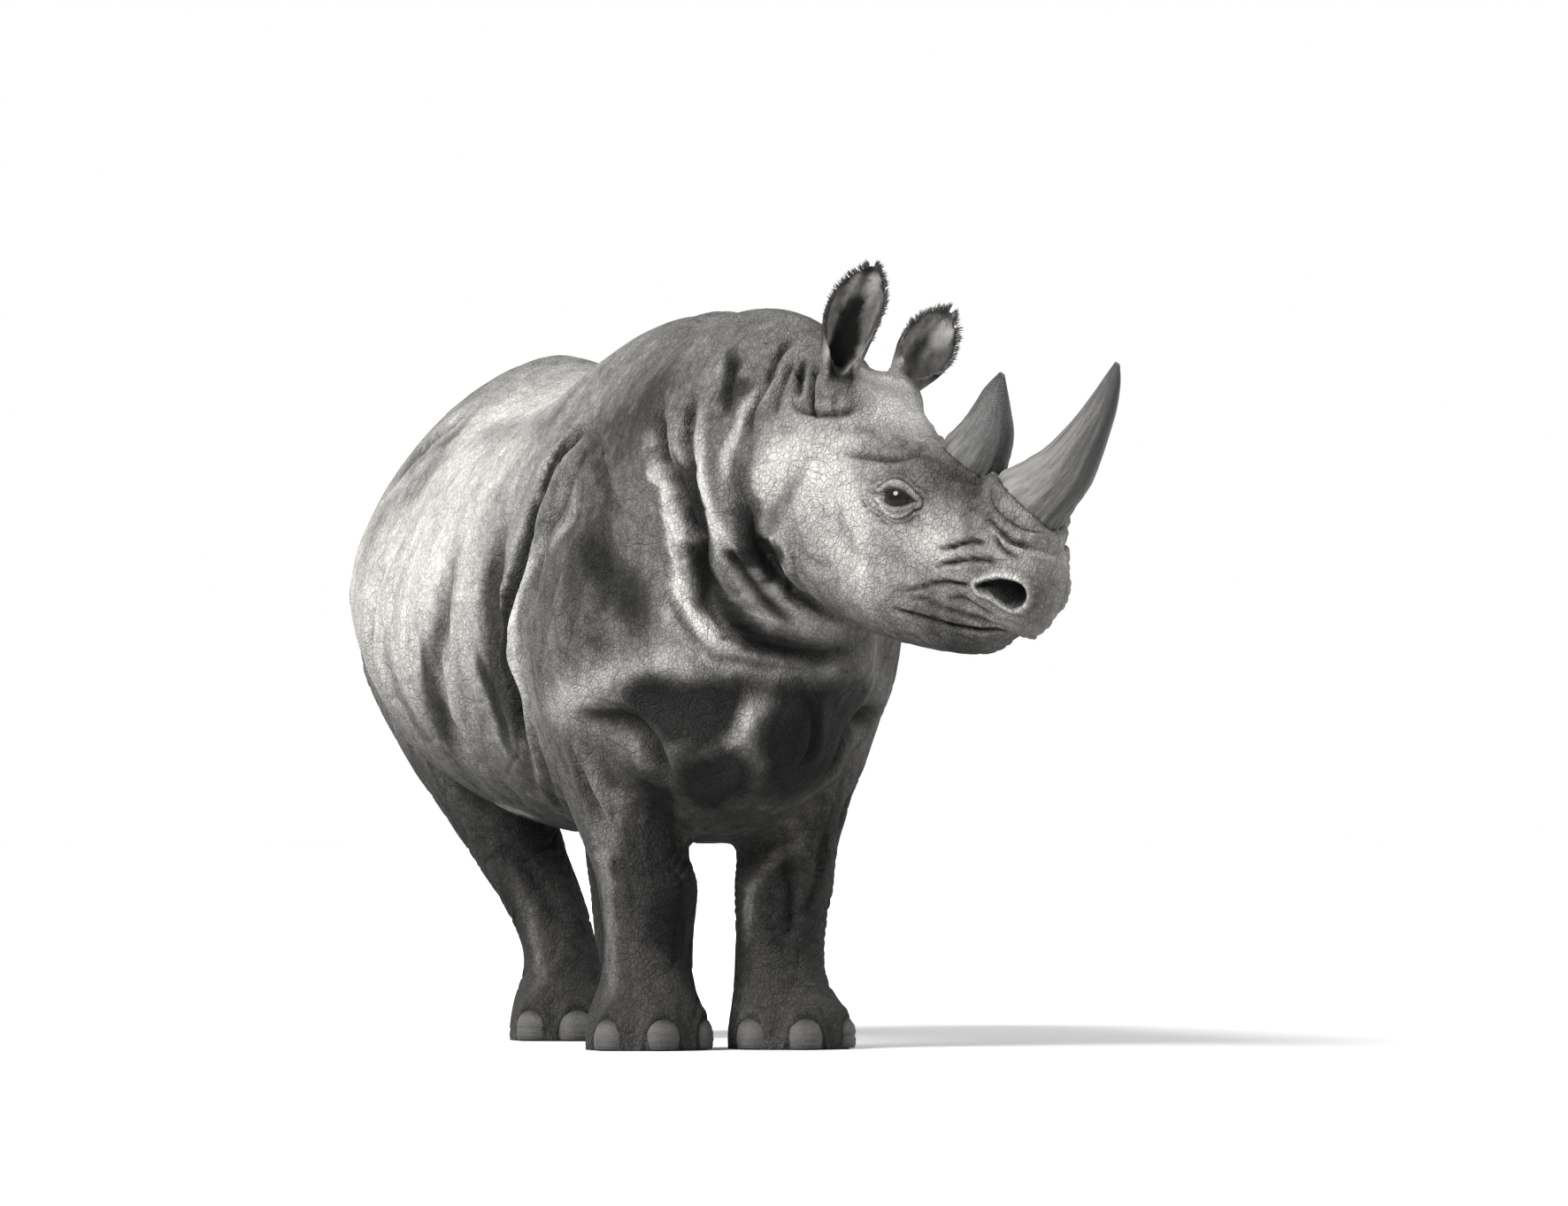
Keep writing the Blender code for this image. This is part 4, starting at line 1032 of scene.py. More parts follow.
def form_lids(points, middle, axes):
    """Draws the skin over the eyeball, open along the slit, with ring folds around it.

    Outside the slit a point at distance r from the ball's middle goes to the greater of r and the
    lid's radius, softened as b log(exp(r / b) + exp(lid / b)), and inside the slit behind the ball.
    A ring fold at distance f from the slit is pressed in by depth * bell((f - place) / width).
    Returns the points, the painted shade at the lids' rim, corners and ring folds, and how pale each is.
    """
    facing, slit, rise = axes
    away = points - middle
    distance = np.linalg.norm(away, axis=1)
    direction = away / distance[:, None]
    front = direction @ facing
    near = np.flatnonzero((distance < 0.13) & (front > 0.12))
    direction, distance, front = direction[near], distance[near], front[near]
    reach = EYE_RADIUS + LID
    gap = slit_distance(direction @ slit * reach, direction @ rise * reach)
    flat_p, flat_q = away[near] @ slit, away[near] @ rise
    far = slit_distance(flat_p, flat_q)
    rim = EYE_RADIUS + LID_GAP + LID * smooth_step(gap, 0.0, 0.005)
    lid = rim + LID_ROLL * bell(gap - 0.006, 0.004)
    cover = LID_BLEND * np.logaddexp(distance / LID_BLEND, lid / LID_BLEND)
    cover = np.where(distance - lid > 0.05, distance, cover)
    cover = distance + (cover - distance) * smooth_step(front, 0.30, 0.50)
    sunk = EYE_RADIUS - LID_TUCK * smooth_step(-gap, -0.0004, 0.0022)
    new = np.where(gap > 0.0004, cover, np.minimum(sunk, rim))
    fade = smooth_step(far, 0.004, 0.010)
    rings = np.zeros(len(near))
    for lid_side, place, depth, width, darkness in RING_FOLDS:
        part = smooth_step(lid_side * flat_q, -0.006, 0.010)
        new -= depth * bell(far - place, width) * part * fade
        new += depth * 0.5 * bell(far - place + 2 * width, width * 1.4) * part * fade
        rings = np.maximum(rings, darkness * bell(far - place, 0.0028) * part)
    front_corner = smooth_step(flat_p, 0.034, 0.040) * (1 - smooth_step(flat_p, 0.044, 0.054))
    rear_corner = smooth_step(-flat_p, 0.030, 0.038) * (1 - smooth_step(-flat_p, 0.052, 0.066))
    thick = np.interp(-flat_p, (0.038, 0.066), (0.0046, 0.0018))
    corner = bell(flat_q, 0.003) * front_corner + bell(flat_q, thick) * rear_corner
    new -= CORNER_DEPTH * corner
    points = points.copy()
    points[near] = middle + direction * new[:, None]
    # painted shade at the lids' rim, in the corners and in the ring folds
    rim_dark = (1 - smooth_step(gap, -0.001, 0.0030)) * (1 - smooth_step(far, 0.005, 0.009))
    dark, pale = np.zeros(len(points)), np.zeros(len(points))
    dark[near] = np.maximum(np.maximum(rim_dark, 0.9 * corner), rings)
    pale[near] = bell(far - 0.010, 0.009) * (1 - rings) * smooth_step(front, 0.3, 0.5)
    return points, dark, pale


def form_nostril(points, side, tree):
    """Sinks a pear-shaped nostril with a raised rim; also the painted shade inside it and how pale each
    point is.

    The distance is to a bent segment whose radius grows with share^0.8 from its back end to its
    front end.  The rim is a bell 7 mm outside that, and a shallow trough a bell 21 mm outside it.
    """
    (*back, thin_end), (*front, round_end) = NOSTRIL_BACK, NOSTRIL_FRONT
    back, front = laid_on_skin(tree, "head", side, (back, front))
    run = front - back
    share = np.clip((points - back) @ run / run.dot(run), 0, 1)
    radius = thin_end + (round_end - thin_end) * share**0.8
    bend = HEAD_UP * (0.010 * np.sin(share * math.pi))[:, None]
    away = points - (back + run * share[:, None] + bend)
    gap = np.linalg.norm(away, axis=1) - radius
    inwards = unit(-HEAD_LEFT * side * 0.9 - HEAD_FORWARD * 0.35 + HEAD_UP * 0.1)
    near = np.flatnonzero(gap < 0.05)
    gap, share = gap[near], share[near]
    sink = NOSTRIL_DEPTH * (0.35 + 0.65 * share) * smooth_step(-gap, -0.0015, 0.011)
    rim = 0.0065 * bell(gap - 0.007, 0.006)
    trough = 0.003 * bell(gap - 0.021, 0.006)
    points = points.copy()
    points[near] += inwards * sink[:, None] - inwards * (rim - trough)[:, None]
    dark, pale = np.zeros(len(points)), np.zeros(len(points))
    dark[near] = smooth_step(-gap, -0.0025, 0.003)
    pale[near] = bell(gap - 0.008, 0.006)
    return points, dark, pale


def toe_swell(points):
    """The toes: a round swelling behind each nail, a dip between two toes, a fold round each nail with
    painted shade where it is creased.

    Round a nail of half width w and height h a point lies at d = sqrt((aside / w)^2 + (z / h)^2) - 1:
    the fold rises at d = 0.26 and is creased at 0.05.
    """
    rows = []
    height, crease_shade = np.zeros(len(points)), np.zeros(len(points))
    for _, feet, reach in FEET:
        for x, y in feet.values():
            for turn in NAIL_TURNS:
                angle = math.radians(turn)
                ahead = np.array((math.sin(angle), -math.cos(angle)))
                toe = np.array((x, y)) + reach * ahead
                rows.append((*toe, 0.050, 0.040, 0.040, 0.060, 0.010))
                away = points[:, :2] - toe
                aside = away @ np.array((-ahead[1], ahead[0]))
                d = np.hypot(aside / 0.040, points[:, 2] / 0.066) - 1
                near = bell(away @ ahead, 0.05)
                height += near * (0.0042 * bell(d - 0.26, 0.14) - 0.0020 * bell(d - 0.06, 0.07))
                crease_shade = np.maximum(crease_shade, near * bell(d - 0.05, 0.09))
            for turn in TOE_GAP_TURNS:
                angle = math.radians(turn)
                rows.append((x + reach * math.sin(angle), y - reach * math.cos(angle), 0.030,
                             0.018, 0.030, 0.050, -0.012))
    return height + masses(points, rows), crease_shade


def horn_seats(points):
    """The rolled collar of skin round each horn, and the painted shade in its creases, the first where
    it meets the horn.

    In the head's level plane, with the base's half width w and half length l, a point's place is
    d = sqrt((along / l)^2 + (out / w)^2) - 1: the collar rises at d = 0.20, with pleats round it and
    a second roll at 0.64, and is creased at 0.02 and 0.42.
    """
    place = head_places(points)
    height, crease_shade = np.zeros(len(points)), np.zeros(len(points))
    for cuts in HORNS.values():
        along, up, wide, long = cuts[1]
        d = np.hypot((place[:, 0] - along) / long, place[:, 2] / wide) - 1
        near = bell(place[:, 1] - up + 0.02, 0.07) * (place[:, 1] > -0.06)
        height += near * (0.0085 * bell(d - 0.20, 0.12) - 0.005 * bell(d - 0.46, 0.09))
        turn = np.arctan2(place[:, 2] / wide, (place[:, 0] - along) / long)
        pleats = np.sin(turn * 17 + 2.0 * lattice_noise(points, 0.05, 19))
        height += near * (0.003 * bell(d - 0.64, 0.10) + 0.0016 * pleats * bell(d - 0.30, 0.26))
        crease_shade = np.maximum(crease_shade, near * (bell(d - 0.02, 0.06) + 0.5 * bell(d - 0.42, 0.06)))
    return height, np.clip(crease_shade, 0, 1)


def sagging(place, wave, crest):
    """Pleats over a place, a wave apart: a sine with its crests cut off at a height."""
    return np.minimum(np.sin(place * 2 * math.pi / wave), crest)


def hide_relief(points):
    """Ribs, sagging pleats and fine wrinkles, as a height for every point.

    Each kind is a height * capped sine of a sloping, swaying place, times the bells and steps that
    keep it to its part of the body.  The cracked grain sinks where |sin(3 noise)| is near 0.
    """
    x, y, z = points.T
    along, up, _ = head_places(points).T
    on_head = smooth_step(along, -0.06, 0.03) * smooth_step(0.3 - y, 0, 0.2)
    body = 1 - on_head
    height = 0.0014 * lattice_noise(points, 0.11, 1) + 0.0009 * lattice_noise(points, 0.045, 2)
    sway = 0.025 * lattice_noise(points, 0.2, 3)
    ribs = sagging(y + 0.32 * (1.0 - z) + sway, RIB_WAVE, 1.0)
    flank = bell(y - 1.0, 0.34) * bell(z - 0.98, 0.30) * body
    height += 0.0050 * ribs * flank * (0.6 + 0.6 * lattice_noise(points, 0.18, 8))
    for middle, span, slope, wave in PLEATED:
        pleat = sagging(y + slope * z + 1.4 * sway, wave, 0.35)
        mask = bell(y - middle, span) * bell(z - 1.0, 0.5) * body
        height += 0.0030 * pleat * mask * (0.4 + 0.6 * lattice_noise(points, 0.14, 7))
    neck = bell(y + 0.02, 0.16) * smooth_step(z, 0.80, 0.95) * body
    turn = x * 0.5 + y + 0.35 * (1.2 - z) + sway
    height += 0.0026 * sagging(turn, NECK_WAVE, 0.3) * neck
    legs = (1 - smooth_step(z, 0.44, 0.60)) * smooth_step(z, 0.09, 0.15)
    patchy = np.clip(0.45 + 0.9 * lattice_noise(points, 0.10, 16), 0, 1)
    ring = z + 0.16 * lattice_noise(points, 0.14, 9) + 0.025 * lattice_noise(points, 0.04, 10)
    height += 0.0030 * sagging(ring, LEG_WAVE, 0.2) * legs * patchy
    muzzle = smooth_step(along, 0.34, 0.46) * on_head
    line = up - 0.35 * along + 0.012 * lattice_noise(points, 0.05, 11)
    height += 0.0016 * sagging(line, MUZZLE_WAVE, 0.2) * muzzle
    brow = bell(along - 0.20, 0.12) * bell(up - 0.02, 0.05) * on_head
    line = along + 0.010 * lattice_noise(points, 0.05, 12)
    height += 0.0012 * sagging(line, BROW_WAVE, 0.2) * brow
    for scale, seed, deep in CRACKLE:
        field = lattice_noise(points * (1.0, 1.0, 0.6) + 40.0, scale, seed)
        valleys = smooth_step(1 - np.abs(np.sin(field * 3.0)), 0.74, 1.0)
        height -= deep * valleys * (0.40 + 0.60 * body)
    return height


def sculpted_skin(skin, eye_middles, axes_of_eyes):
    """Swells, folds and opens the melted skin, and stores the painted shade of its creases and hollows
    and how pale it is.
    """
    mesh = skin.data
    fine = [(middle, 0.052) for middle in eye_middles.values()]
    zones = fine + [(in_head(0.62, -0.15), 0.13)]  # the mouth
    for side, middle in eye_middles.items():
        root, length, axes = ear_frame(side)
        zones += [(middle, 0.085), (root + axes[2] * length * 0.6, length * 0.55)]
        zones += [(in_head(along, up, side * out), radius) for along, up, out, radius in FINE_ZONES]
    with opened(mesh) as shape:
        refine(shape, zones)
        refine(shape, fine)
    points, normals = read_points(mesh), read_normals(mesh)
    swell = masses(points, both_sides(MUSCLES, 0))
    swell += masses(head_places(points), both_sides(HEAD_FORMS, 2))
    toes, cuticle = toe_swell(points)
    points += normals * (swell + toes)[:, None]
    write_points(mesh, points)

    points, crease_shade, dust_and_painted_light = press_folds(points, read_normals(mesh), skin_tree(mesh))
    write_points(mesh, points)
    normals = read_normals(mesh)
    collar, seam = horn_seats(points)
    relief = hide_relief(points) + collar
    crease_shade = np.maximum(np.maximum(crease_shade, seam), 0.8 * cuticle)
    quiet = np.ones(len(points))
    for side, middle in eye_middles.items():
        quiet *= 1 - 0.8 * smooth_step(ear_share(points, side)[0], 0.05, 0.2)
        quiet *= 1 - bell(np.linalg.norm(points - middle, axis=1), 0.05)
    points += normals * (relief * quiet)[:, None]
    write_points(mesh, points)

    tree = skin_tree(mesh)
    # pale starts with the painted highlight and dust on the lips of the broad folds
    pale, hollow = LIP_HIGHLIGHT_AND_DUST * dust_and_painted_light, np.zeros(len(points))
    for side, middle in eye_middles.items():
        points, dark, lids = form_lids(points, middle, axes_of_eyes[side])
        crease_shade = np.maximum(crease_shade, dark)
        pale = np.maximum(pale, 0.5 * lids)
        points, dark, rim = form_nostril(points, side, tree)
        hollow = np.maximum(hollow, dark)
        pale = np.maximum(pale, rim)
    write_points(mesh, points)
    store(mesh, "crease_shade", crease_shade)
    store(mesh, "pale", pale)
    store(mesh, "hollow", hollow)
    cut_at_floor(mesh)


# ---------------------------------------------------------------- finishing the skin
def streak_tones(points, tone, tree):
    """Lays the streaks of painted light and shade into the tone: strength * edge * fade, with an edge
    that sways.

    The edge falls from 1 to 0 where the distance, measured in the streak's tapered half width,
    goes from low to high: sharply for narrow streaks, gently for broad ones.
    """
    sway = 0.010 * lattice_noise(points, 0.05, 17) + 0.016 * lattice_noise(points, 0.16, 18)
    for _, view, side, (width, strength), path in lines_of(STREAKS):
        width = width / MM
        line = fold_line(tree, view, side, path)
        near, s, share, _ = across_line(points, *line, width * 3)
        taper = width * (0.35 + 0.65 * np.sqrt(np.sin(math.pi * share).clip(0, 1)))
        weight = LEFT_STREAKS if side == 1 else 1.0
        low, high = (0.45, 1.35) if width < BROAD_STREAK else (0.0, 1.9)
        edge = 1 - smooth_step(np.abs(s + sway[near]) / taper, low, high)
        tone[near] += weight * strength * edge * fading(share, 0.3)


def ear_tones(points, normals, side):
    """What an ear's lining, with its painted light, and rim add to the tone, the painted shade in its
    cup, and how fine its hide.
    """
    share, across = ear_share(points, side)
    faces = -(normals @ ear_frame(side)[2][1])
    lining = smooth_step(share, 0.15, 0.35) * smooth_step(faces, 0.0, 0.6)
    across = across - EAR_LEAN[side] * share**2
    ragged = 1 + 0.25 * lattice_noise(points, 0.016, 24)
    wide = np.interp(share, CUP_SHARES, CUP_WIDTHS) * ragged
    cup = smooth_step(share, 0.02, 0.14) * smooth_step(faces, 0.0, 0.6)
    cup = cup * (1 - smooth_step(np.abs(across), wide * 0.75, wide))
    half = np.interp(share, EAR[:, 0], EAR[:, 1])
    edge = smooth_step(np.abs(across) / half, 0.70, 0.92) * smooth_step(share, 0.20, 0.45)
    edge = np.maximum(edge, smooth_step(share, 0.90, 0.97))
    bristled = np.stack([across / 0.010, share / 0.30, 0 * share], axis=-1)
    hairs = lattice_noise(bristled, 1.0, 25 + side)
    rim = 0.95 * edge * smooth_step(share, 0.0, 0.05)
    # the lining's painted light with its hairs, less the dark rim
    added = lining * (EAR_LINING[side] + 0.55 * hairs) - rim
    # painted shade in the ear's cup
    dark = CUP_PAINTED_SHADE[side] * cup * (1 - smooth_step(share, 0.68, 0.82))
    return added, dark, smooth_step(share, 0.10, 0.30) * smooth_step(faces, -0.4, 0.4)


def toned(mesh, tree):
    """Stores the painted light and shade of the hide, in masses and streaks, and the painted shade in
    the cups of the ears.
    """
    points, normals = read_points(mesh), read_normals(mesh)
    place = head_places(points)
    head = smooth_step(place[:, 0], -0.06, 0.06) * smooth_step(0.25 - points[:, 1], 0, 0.15)
    tone = masses(points, both_sides(TONES, 0)) + masses(place, both_sides(HEAD_TONES, 2)) * head
    tone = np.minimum(tone, PALEST + PALER_HEAD * head)
    streak_tones(points, tone, tree)
    fine = np.zeros(len(points))
    hollow = np.empty(len(points), np.float32)
    mesh.attributes["hollow"].data.foreach_get("value", hollow)
    for side in SIDES:
        added, dark, smooth = ear_tones(points, normals, side)
        tone += added
        hollow = np.maximum(hollow, dark)
        fine = np.maximum(fine, smooth)
    store(mesh, "tone", tone)
    store(mesh, "fine", 0.85 * fine)
    store(mesh, "hollow", hollow)


def thin(skin):
    """Thins the skin where it is flattest."""
    skin.data.calc_loop_triangles()
    reduce = skin.modifiers.new("thin", "DECIMATE")
    reduce.ratio = SKIN_TRIANGLES / len(skin.data.loop_triangles)
    settled(skin)


def shifted(obj):
    """Moves an object's points from the plan to where the solids stand, and smooths its shading."""
    write_points(obj.data, read_points(obj.data) + MODEL_SHIFT)
    obj.data.shade_smooth()
    return obj


# ---------------------------------------------------------------- horns, nails and eyes
def horn(name, around=96, per_span=14):
    """A horn: an oval tube along its cuts, with growth rings and fibres pressed into it.

    Radius = cut's radius * (1 + fibres and coarse grain + rings, sin(70 share), + a skirt near the
    base).  Its points keep their share of its length and their place in a straight horn.
    """
    rows = eased([(*in_head(along, up), wide, long) for along, up, wide, long in HORNS[name]],
                 per_span)
    share = np.linspace(0, 1, len(rows))[:, None]
    angle = np.arange(around)[None] * 2 * math.pi / around
    shares = share + 0 * angle
    spread = np.stack([np.cos(angle) + 0 * share, np.sin(angle) + 0 * share], axis=-1)
    seed = np.concatenate([spread * 3, shares[..., None] * 2.2], axis=-1).reshape(-1, 3)
    grain = lattice_noise(seed * (4, 4, 0.8) + 9, 1.0, 21).reshape(shares.shape)
    coarse = lattice_noise(seed + 5, 0.9, 22).reshape(shares.shape)
    rough = 1 - smooth_step(share, 0.12, 0.75)
    rings = np.sin(share * 70 + coarse * 2.2) * (1 - smooth_step(share, 0.05, 0.55))
    skirt = bell(share - 0.13, 0.07) * (0.05 + 0.03 * grain)
    swell = 1 + (0.018 * grain + 0.012 * coarse) * (0.35 + rough) + 0.010 * rings + skirt
    reach = rows[:, None, 3:5] * spread * swell[..., None]
    made = tube(f"{name}_fibres", rows[:, None, :3] + reach @ np.stack([HEAD_LEFT, HEAD_FORWARD]))
    store(made.data, "share", [*shares.ravel(), 0, 1])
    lie = np.concatenate([spread, shares[..., None]], axis=-1).reshape(-1, 3)
    layer = made.data.attributes.new("fibre_place", "FLOAT_VECTOR", "POINT")
    lie = np.vstack([lie, (0, 0, 0), (0, 0, 1)])
    layer.data.foreach_set("vector", lie.astype(np.float32).ravel())
    return shifted(made)


def nail(name, middle, turn, tree, around=36, per_span=7):
    """A toenail: an oval tube up the front of the toe, with level growth ridges.

    At angle v: across = w cos(v)^0.85, out = t ridge sin(v) - 0.4 t - 6.25 across^2, which bends it
    round the toe, with ridge = 1 + 0.035 sin(40 share) (1 - share).
    """
    outward = axes_of(turn, 90.0)[2]
    left = axes_of(turn, 0.0)[0]
    rows = eased(NAIL, per_span)
    places = []
    for height in rows[:, 0]:
        start = Vector((*middle, height)) + Vector(outward) * 0.5
        places.append(tree.ray_cast(start, Vector(-outward))[0])
    heights, wide, thick = rows.T[:, :, None]
    share = np.linspace(0, 1, len(rows))[:, None]
    ridge = 1 + 0.035 * np.sin(share * 40) * (1 - share)
    v = np.arange(around)[None] * 2 * math.pi / around
    across = wide * np.sign(np.cos(v)) * np.abs(np.cos(v)) ** 0.85
    out = thick * np.sin(v) * ridge - thick * 0.4 - 0.25 * across**2 / 0.04
    grid = np.array(places)[:, None] + across[..., None] * left + out[..., None] * outward
    grid[..., 2] = heights
    made = tube(name, grid)
    store(made.data, "share", [*np.repeat(share[:, 0], around), 0, 1])
    return shifted(made)


def eyeball(side, middle, facing, slit, rise):
    """An eyeball with a low bulge over the iris, and how far each point is from the pupil's middle.

    Radius = EYE_FIT * eye radius * (1 + 0.035 e), where e goes from 0 to 1 as the cosine of the
    angle from the pupil goes from 0.80 to 0.97.
    """
    grid = egg(np.zeros(3), (1, 1, 1), (slit, rise, facing), 64, 48)
    swell = 1 + 0.035 * smooth_step(grid @ facing, 0.80, 0.97)
    grid = grid * swell[..., None] * EYE_RADIUS * EYE_FIT
    made = tube(f"eyeball_{SIDES[side]}", grid, middle)
    own = tube_points(grid) / EYE_RADIUS
    store(made.data, "out_from_pupil", np.hypot(own @ slit, own @ rise))
    store(made.data, "across_pupil", np.hypot(own @ slit * 0.55, own @ rise))
    return shifted(made)


# ---------------------------------------------------------------- hair
def tufts(name, roots, ways, sags, lengths, radius, uv_places, curl_seed, steps=4):
    """Three-sided tapered tufts as one mesh.

    Along a tuft, point = root + way * t * length + sag * t^2 * length, with the radius falling as
    1 - 0.85 t^1.5; its patch in the OFBake map is a small square at its own place.
    """
    count = len(roots)
    chance = np.random.default_rng(curl_seed)
    t = np.linspace(0, 1, steps + 1)
    bend = chance.normal(0, 0.10, (count, 3))
    spine = roots[:, None] + ways[:, None] * (t[None, :, None] * lengths[:, None, None])
    spine = spine + (sags + bend)[:, None] * (t[None, :, None] ** 2 * lengths[:, None, None])
    side = unit(np.cross(ways, unit(chance.normal(0, 1, (count, 3)))))
    other = np.cross(ways, side)[:, None]
    turn = np.arange(3)[None, :, None] * 2 * math.pi / 3
    ring = side[:, None] * np.cos(turn) + other * np.sin(turn)
    taper = radius * (1 - t[:-1] ** 1.5 * 0.85)
    rings = spine[:, :-1, None] + ring[:, None] * taper[None, :, None, None]
    points = np.concatenate([rings.reshape(count, -1, 3), spine[:, -1:]], axis=1)
    size = steps * 3 + 1
    k, j = np.meshgrid(np.arange(steps - 1), np.arange(3), indexing="ij")
    after = (j + 1) % 3
    quads = np.stack([k * 3 + j, k * 3 + after, k * 3 + 3 + after, k * 3 + 3 + j], -1)
    base, tip = (steps - 1) * 3, size - 1
    caps = np.array([(base, base + 1, tip), (base + 1, base + 2, tip), (base + 2, base, tip),
                     (2, 1, 0)])
    offset = np.arange(count)[:, None, None] * size
    faces = (quads.reshape(-1, 4) + offset).reshape(-1, 4).tolist()
    faces += (caps + offset).reshape(-1, 3).tolist()
    made = new_object(name, points.reshape(-1, 3), faces)
    corner = np.empty(len(made.data.loops), int)
    made.data.loops.foreach_get("vertex_index", corner)
    tuft, part = corner // size, corner % size
    local = np.stack([(part % 3) / 3.0, (part // 3) / steps], axis=-1) * 0.003
    uv = made.data.uv_layers.new(name="OFBake")
    uv.data.foreach_set("uv", (uv_places[tuft] + local).astype(np.float32).ravel())
    return shifted(made)


def ear_fringe(side, tree, count=560):
    """Bristles along the rim of an ear, rooted in its skin, leaning out and towards its tip.

    Way = 0.8 outwards + (0.35 + 0.9 share^3) along the ear + chance.
    """
    around = 44
    half = around // 2
    grid = ear_grid(side, around, 24)
    upwards = ear_frame(side)[2][2]
    chance = np.random.default_rng(31 + side)
    share = chance.uniform(0.25, 0.985, count) ** 0.7
    row = (share * (len(grid) - 1)).astype(int)
    rim = chance.choice((0, half - 1), count)
    outer = grid[row, rim]
    inner = grid[row, np.where(rim == 0, around - 1, half)]
    nearest = [tree.find_nearest(Vector(place)) for place in (outer + inner) / 2]
    roots = np.array([place - normal * EAR_ROOT_DEPTH for place, normal, _, _ in nearest])
    away = unit(outer - grid[row, half // 2]) * 0.8
    tip = upwards * (0.35 + 0.9 * share[:, None] ** 3)
    ways = unit(away + tip + chance.normal(0, 0.25, (count, 3)))
    lengths = chance.uniform(0.006, 0.013, count) * (1 + 0.5 * share**2)
    places = np.stack([0.1 + 0.2 * (rim > 0) + 0.3 * (side > 0), 0.1 + 0.8 * share], axis=-1)
    sags = np.tile(upwards * 0.15, (count, 1))
    name = f"ear_fringe_{SIDES[side]}"
    return tufts(name, roots, ways, sags, lengths, BRISTLE_RADIUS["fringe"], places, 41 + side)


def tail_brush(count=420):
    """The stiff bristles all round the tail's end: way = 0.32 outwards + down + chance.

    They are shorter towards its tip, and the lowest of them shorter still.
    """
    chance = np.random.default_rng(51)
    rows = eased(TAIL, 12)
    share = chance.uniform(0.70, 0.99, count)
    place = share * (len(rows) - 1)
    line = np.stack([np.interp(place, np.arange(len(rows)), column) for column in rows.T], axis=-1)
    angle = chance.uniform(0, 2 * math.pi, count)
    out = np.stack([np.cos(angle), np.sin(angle), 0 * angle], axis=-1)
    roots = line[:, :3] + out * line[:, 3:5].mean(1)[:, None] * 0.6
    ways = unit(out * 0.32 + np.array((0, 0, -1.0)) + chance.normal(0, 0.05, (count, 3)))
    sags = np.tile(np.array((0, 0, -0.2)), (count, 1)) - out * 0.12
    lengths = chance.uniform(0.07, 0.15, count) * (1.15 - 0.5 * (share - 0.7))
    low = roots[:, 2] + ways[:, 2] * lengths - 0.2 * lengths
    lengths = lengths * np.where(low < 0.47, 0.75, 1.0)
    places = np.stack([angle / (2 * math.pi) * 0.9, share * 0.3 + 0.6], axis=-1)
    radius = BRISTLE_RADIUS["brush"]
    return tufts("tail_brush", roots, ways, sags, lengths, radius, places, 61, 5)


def lashes(side, middle, axes, count=34):
    """Short lashes on the upper lid's edge: at p along the slit, q = h (1 - (p / l)^2)^0.8 above it."""
    facing, slit, rise = axes
    chance = np.random.default_rng(71 + side)
    p = np.linspace(-0.9, 0.92, count) * SLIT[0]
    q = SLIT[1] * (1 - (p / SLIT[0]) ** 2) ** 0.8 + 0.0012
    reach = EYE_RADIUS + LID
    ahead = np.sqrt(1 - (p / reach) ** 2 - (q / reach) ** 2) * reach * 0.985
    roots = middle + p[:, None] * slit + q[:, None] * rise + ahead[:, None] * facing
    ways = unit(facing + rise * 0.25 - slit * 0.25 + chance.normal(0, 0.12, (count, 3)))
    sags = np.tile(-rise * 0.5, (count, 1))
    lengths = chance.uniform(0.010, 0.018, count)
    places = np.stack([0.5 + 0.2 * side + p, 0.5 + q], axis=-1)
    name = f"lashes_{SIDES[side]}"
    return tufts(name, roots, ways, sags, lengths, BRISTLE_RADIUS["lash"], places, 81 + side)


# ---------------------------------------------------------------- materials
def group_of(name, inputs, outputs):
    """An empty shader group with named inputs (name, value, or None for a place) and outputs."""
    tree = bpy.data.node_groups.new(name, "ShaderNodeTree")
    for label, value in inputs.items():
        kind = "NodeSocketVector" if value is None else "NodeSocketFloat"
        socket = tree.interface.new_socket(label, in_out="INPUT", socket_type=kind)
        if value is not None:
            socket.default_value = value
    for label in outputs:
        tree.interface.new_socket(label, in_out="OUTPUT", socket_type="NodeSocketFloat")
    return tree, tree.nodes.new("NodeGroupInput").outputs, tree.nodes.new("NodeGroupOutput").inputs


def node(tree, kind, settings=None, **links):
    """A node with its settings made and its inputs fed: a socket is linked, a value is set."""
    made = tree.nodes.new(kind)
    for key, value in (settings or {}).items():
        setattr(made, key, value)
    for key, value in links.items():
        index = int(key[1:]) if key[0] == "i" and key[1:].isdigit() else key.replace("_", " ")
        socket = made.inputs[index]
        if isinstance(value, bpy.types.NodeSocket):
            tree.links.new(value, socket)
        else:
            socket.default_value = value
    return made


def math_of(tree, operation, one, two=0.0, clamp=False):
    """The result of a Math node."""
    made = node(tree, "ShaderNodeMath", {"operation": operation, "use_clamp": clamp}, i0=one, i1=two)
    return made.outputs[0]


def times(tree, one, two, clamp=False):
    """The product of two values."""
    return math_of(tree, "MULTIPLY", one, two, clamp)


def less(tree, one, two, clamp=False):
    """The difference of two values."""
    return math_of(tree, "SUBTRACT", one, two, clamp)


def sum_of(tree, *terms):
    """The sum of terms (value, weight), each value times its weight."""
    first, *others = [times(tree, value, weight) for value, weight in terms]
    for other in others:
        first = math_of(tree, "ADD", first, other)
    return first


def vector_of(tree, operation, one, **inputs):
    """The result of a Vector Math node."""
    return node(tree, "ShaderNodeVectorMath", {"operation": operation}, i0=one, **inputs).outputs[0]


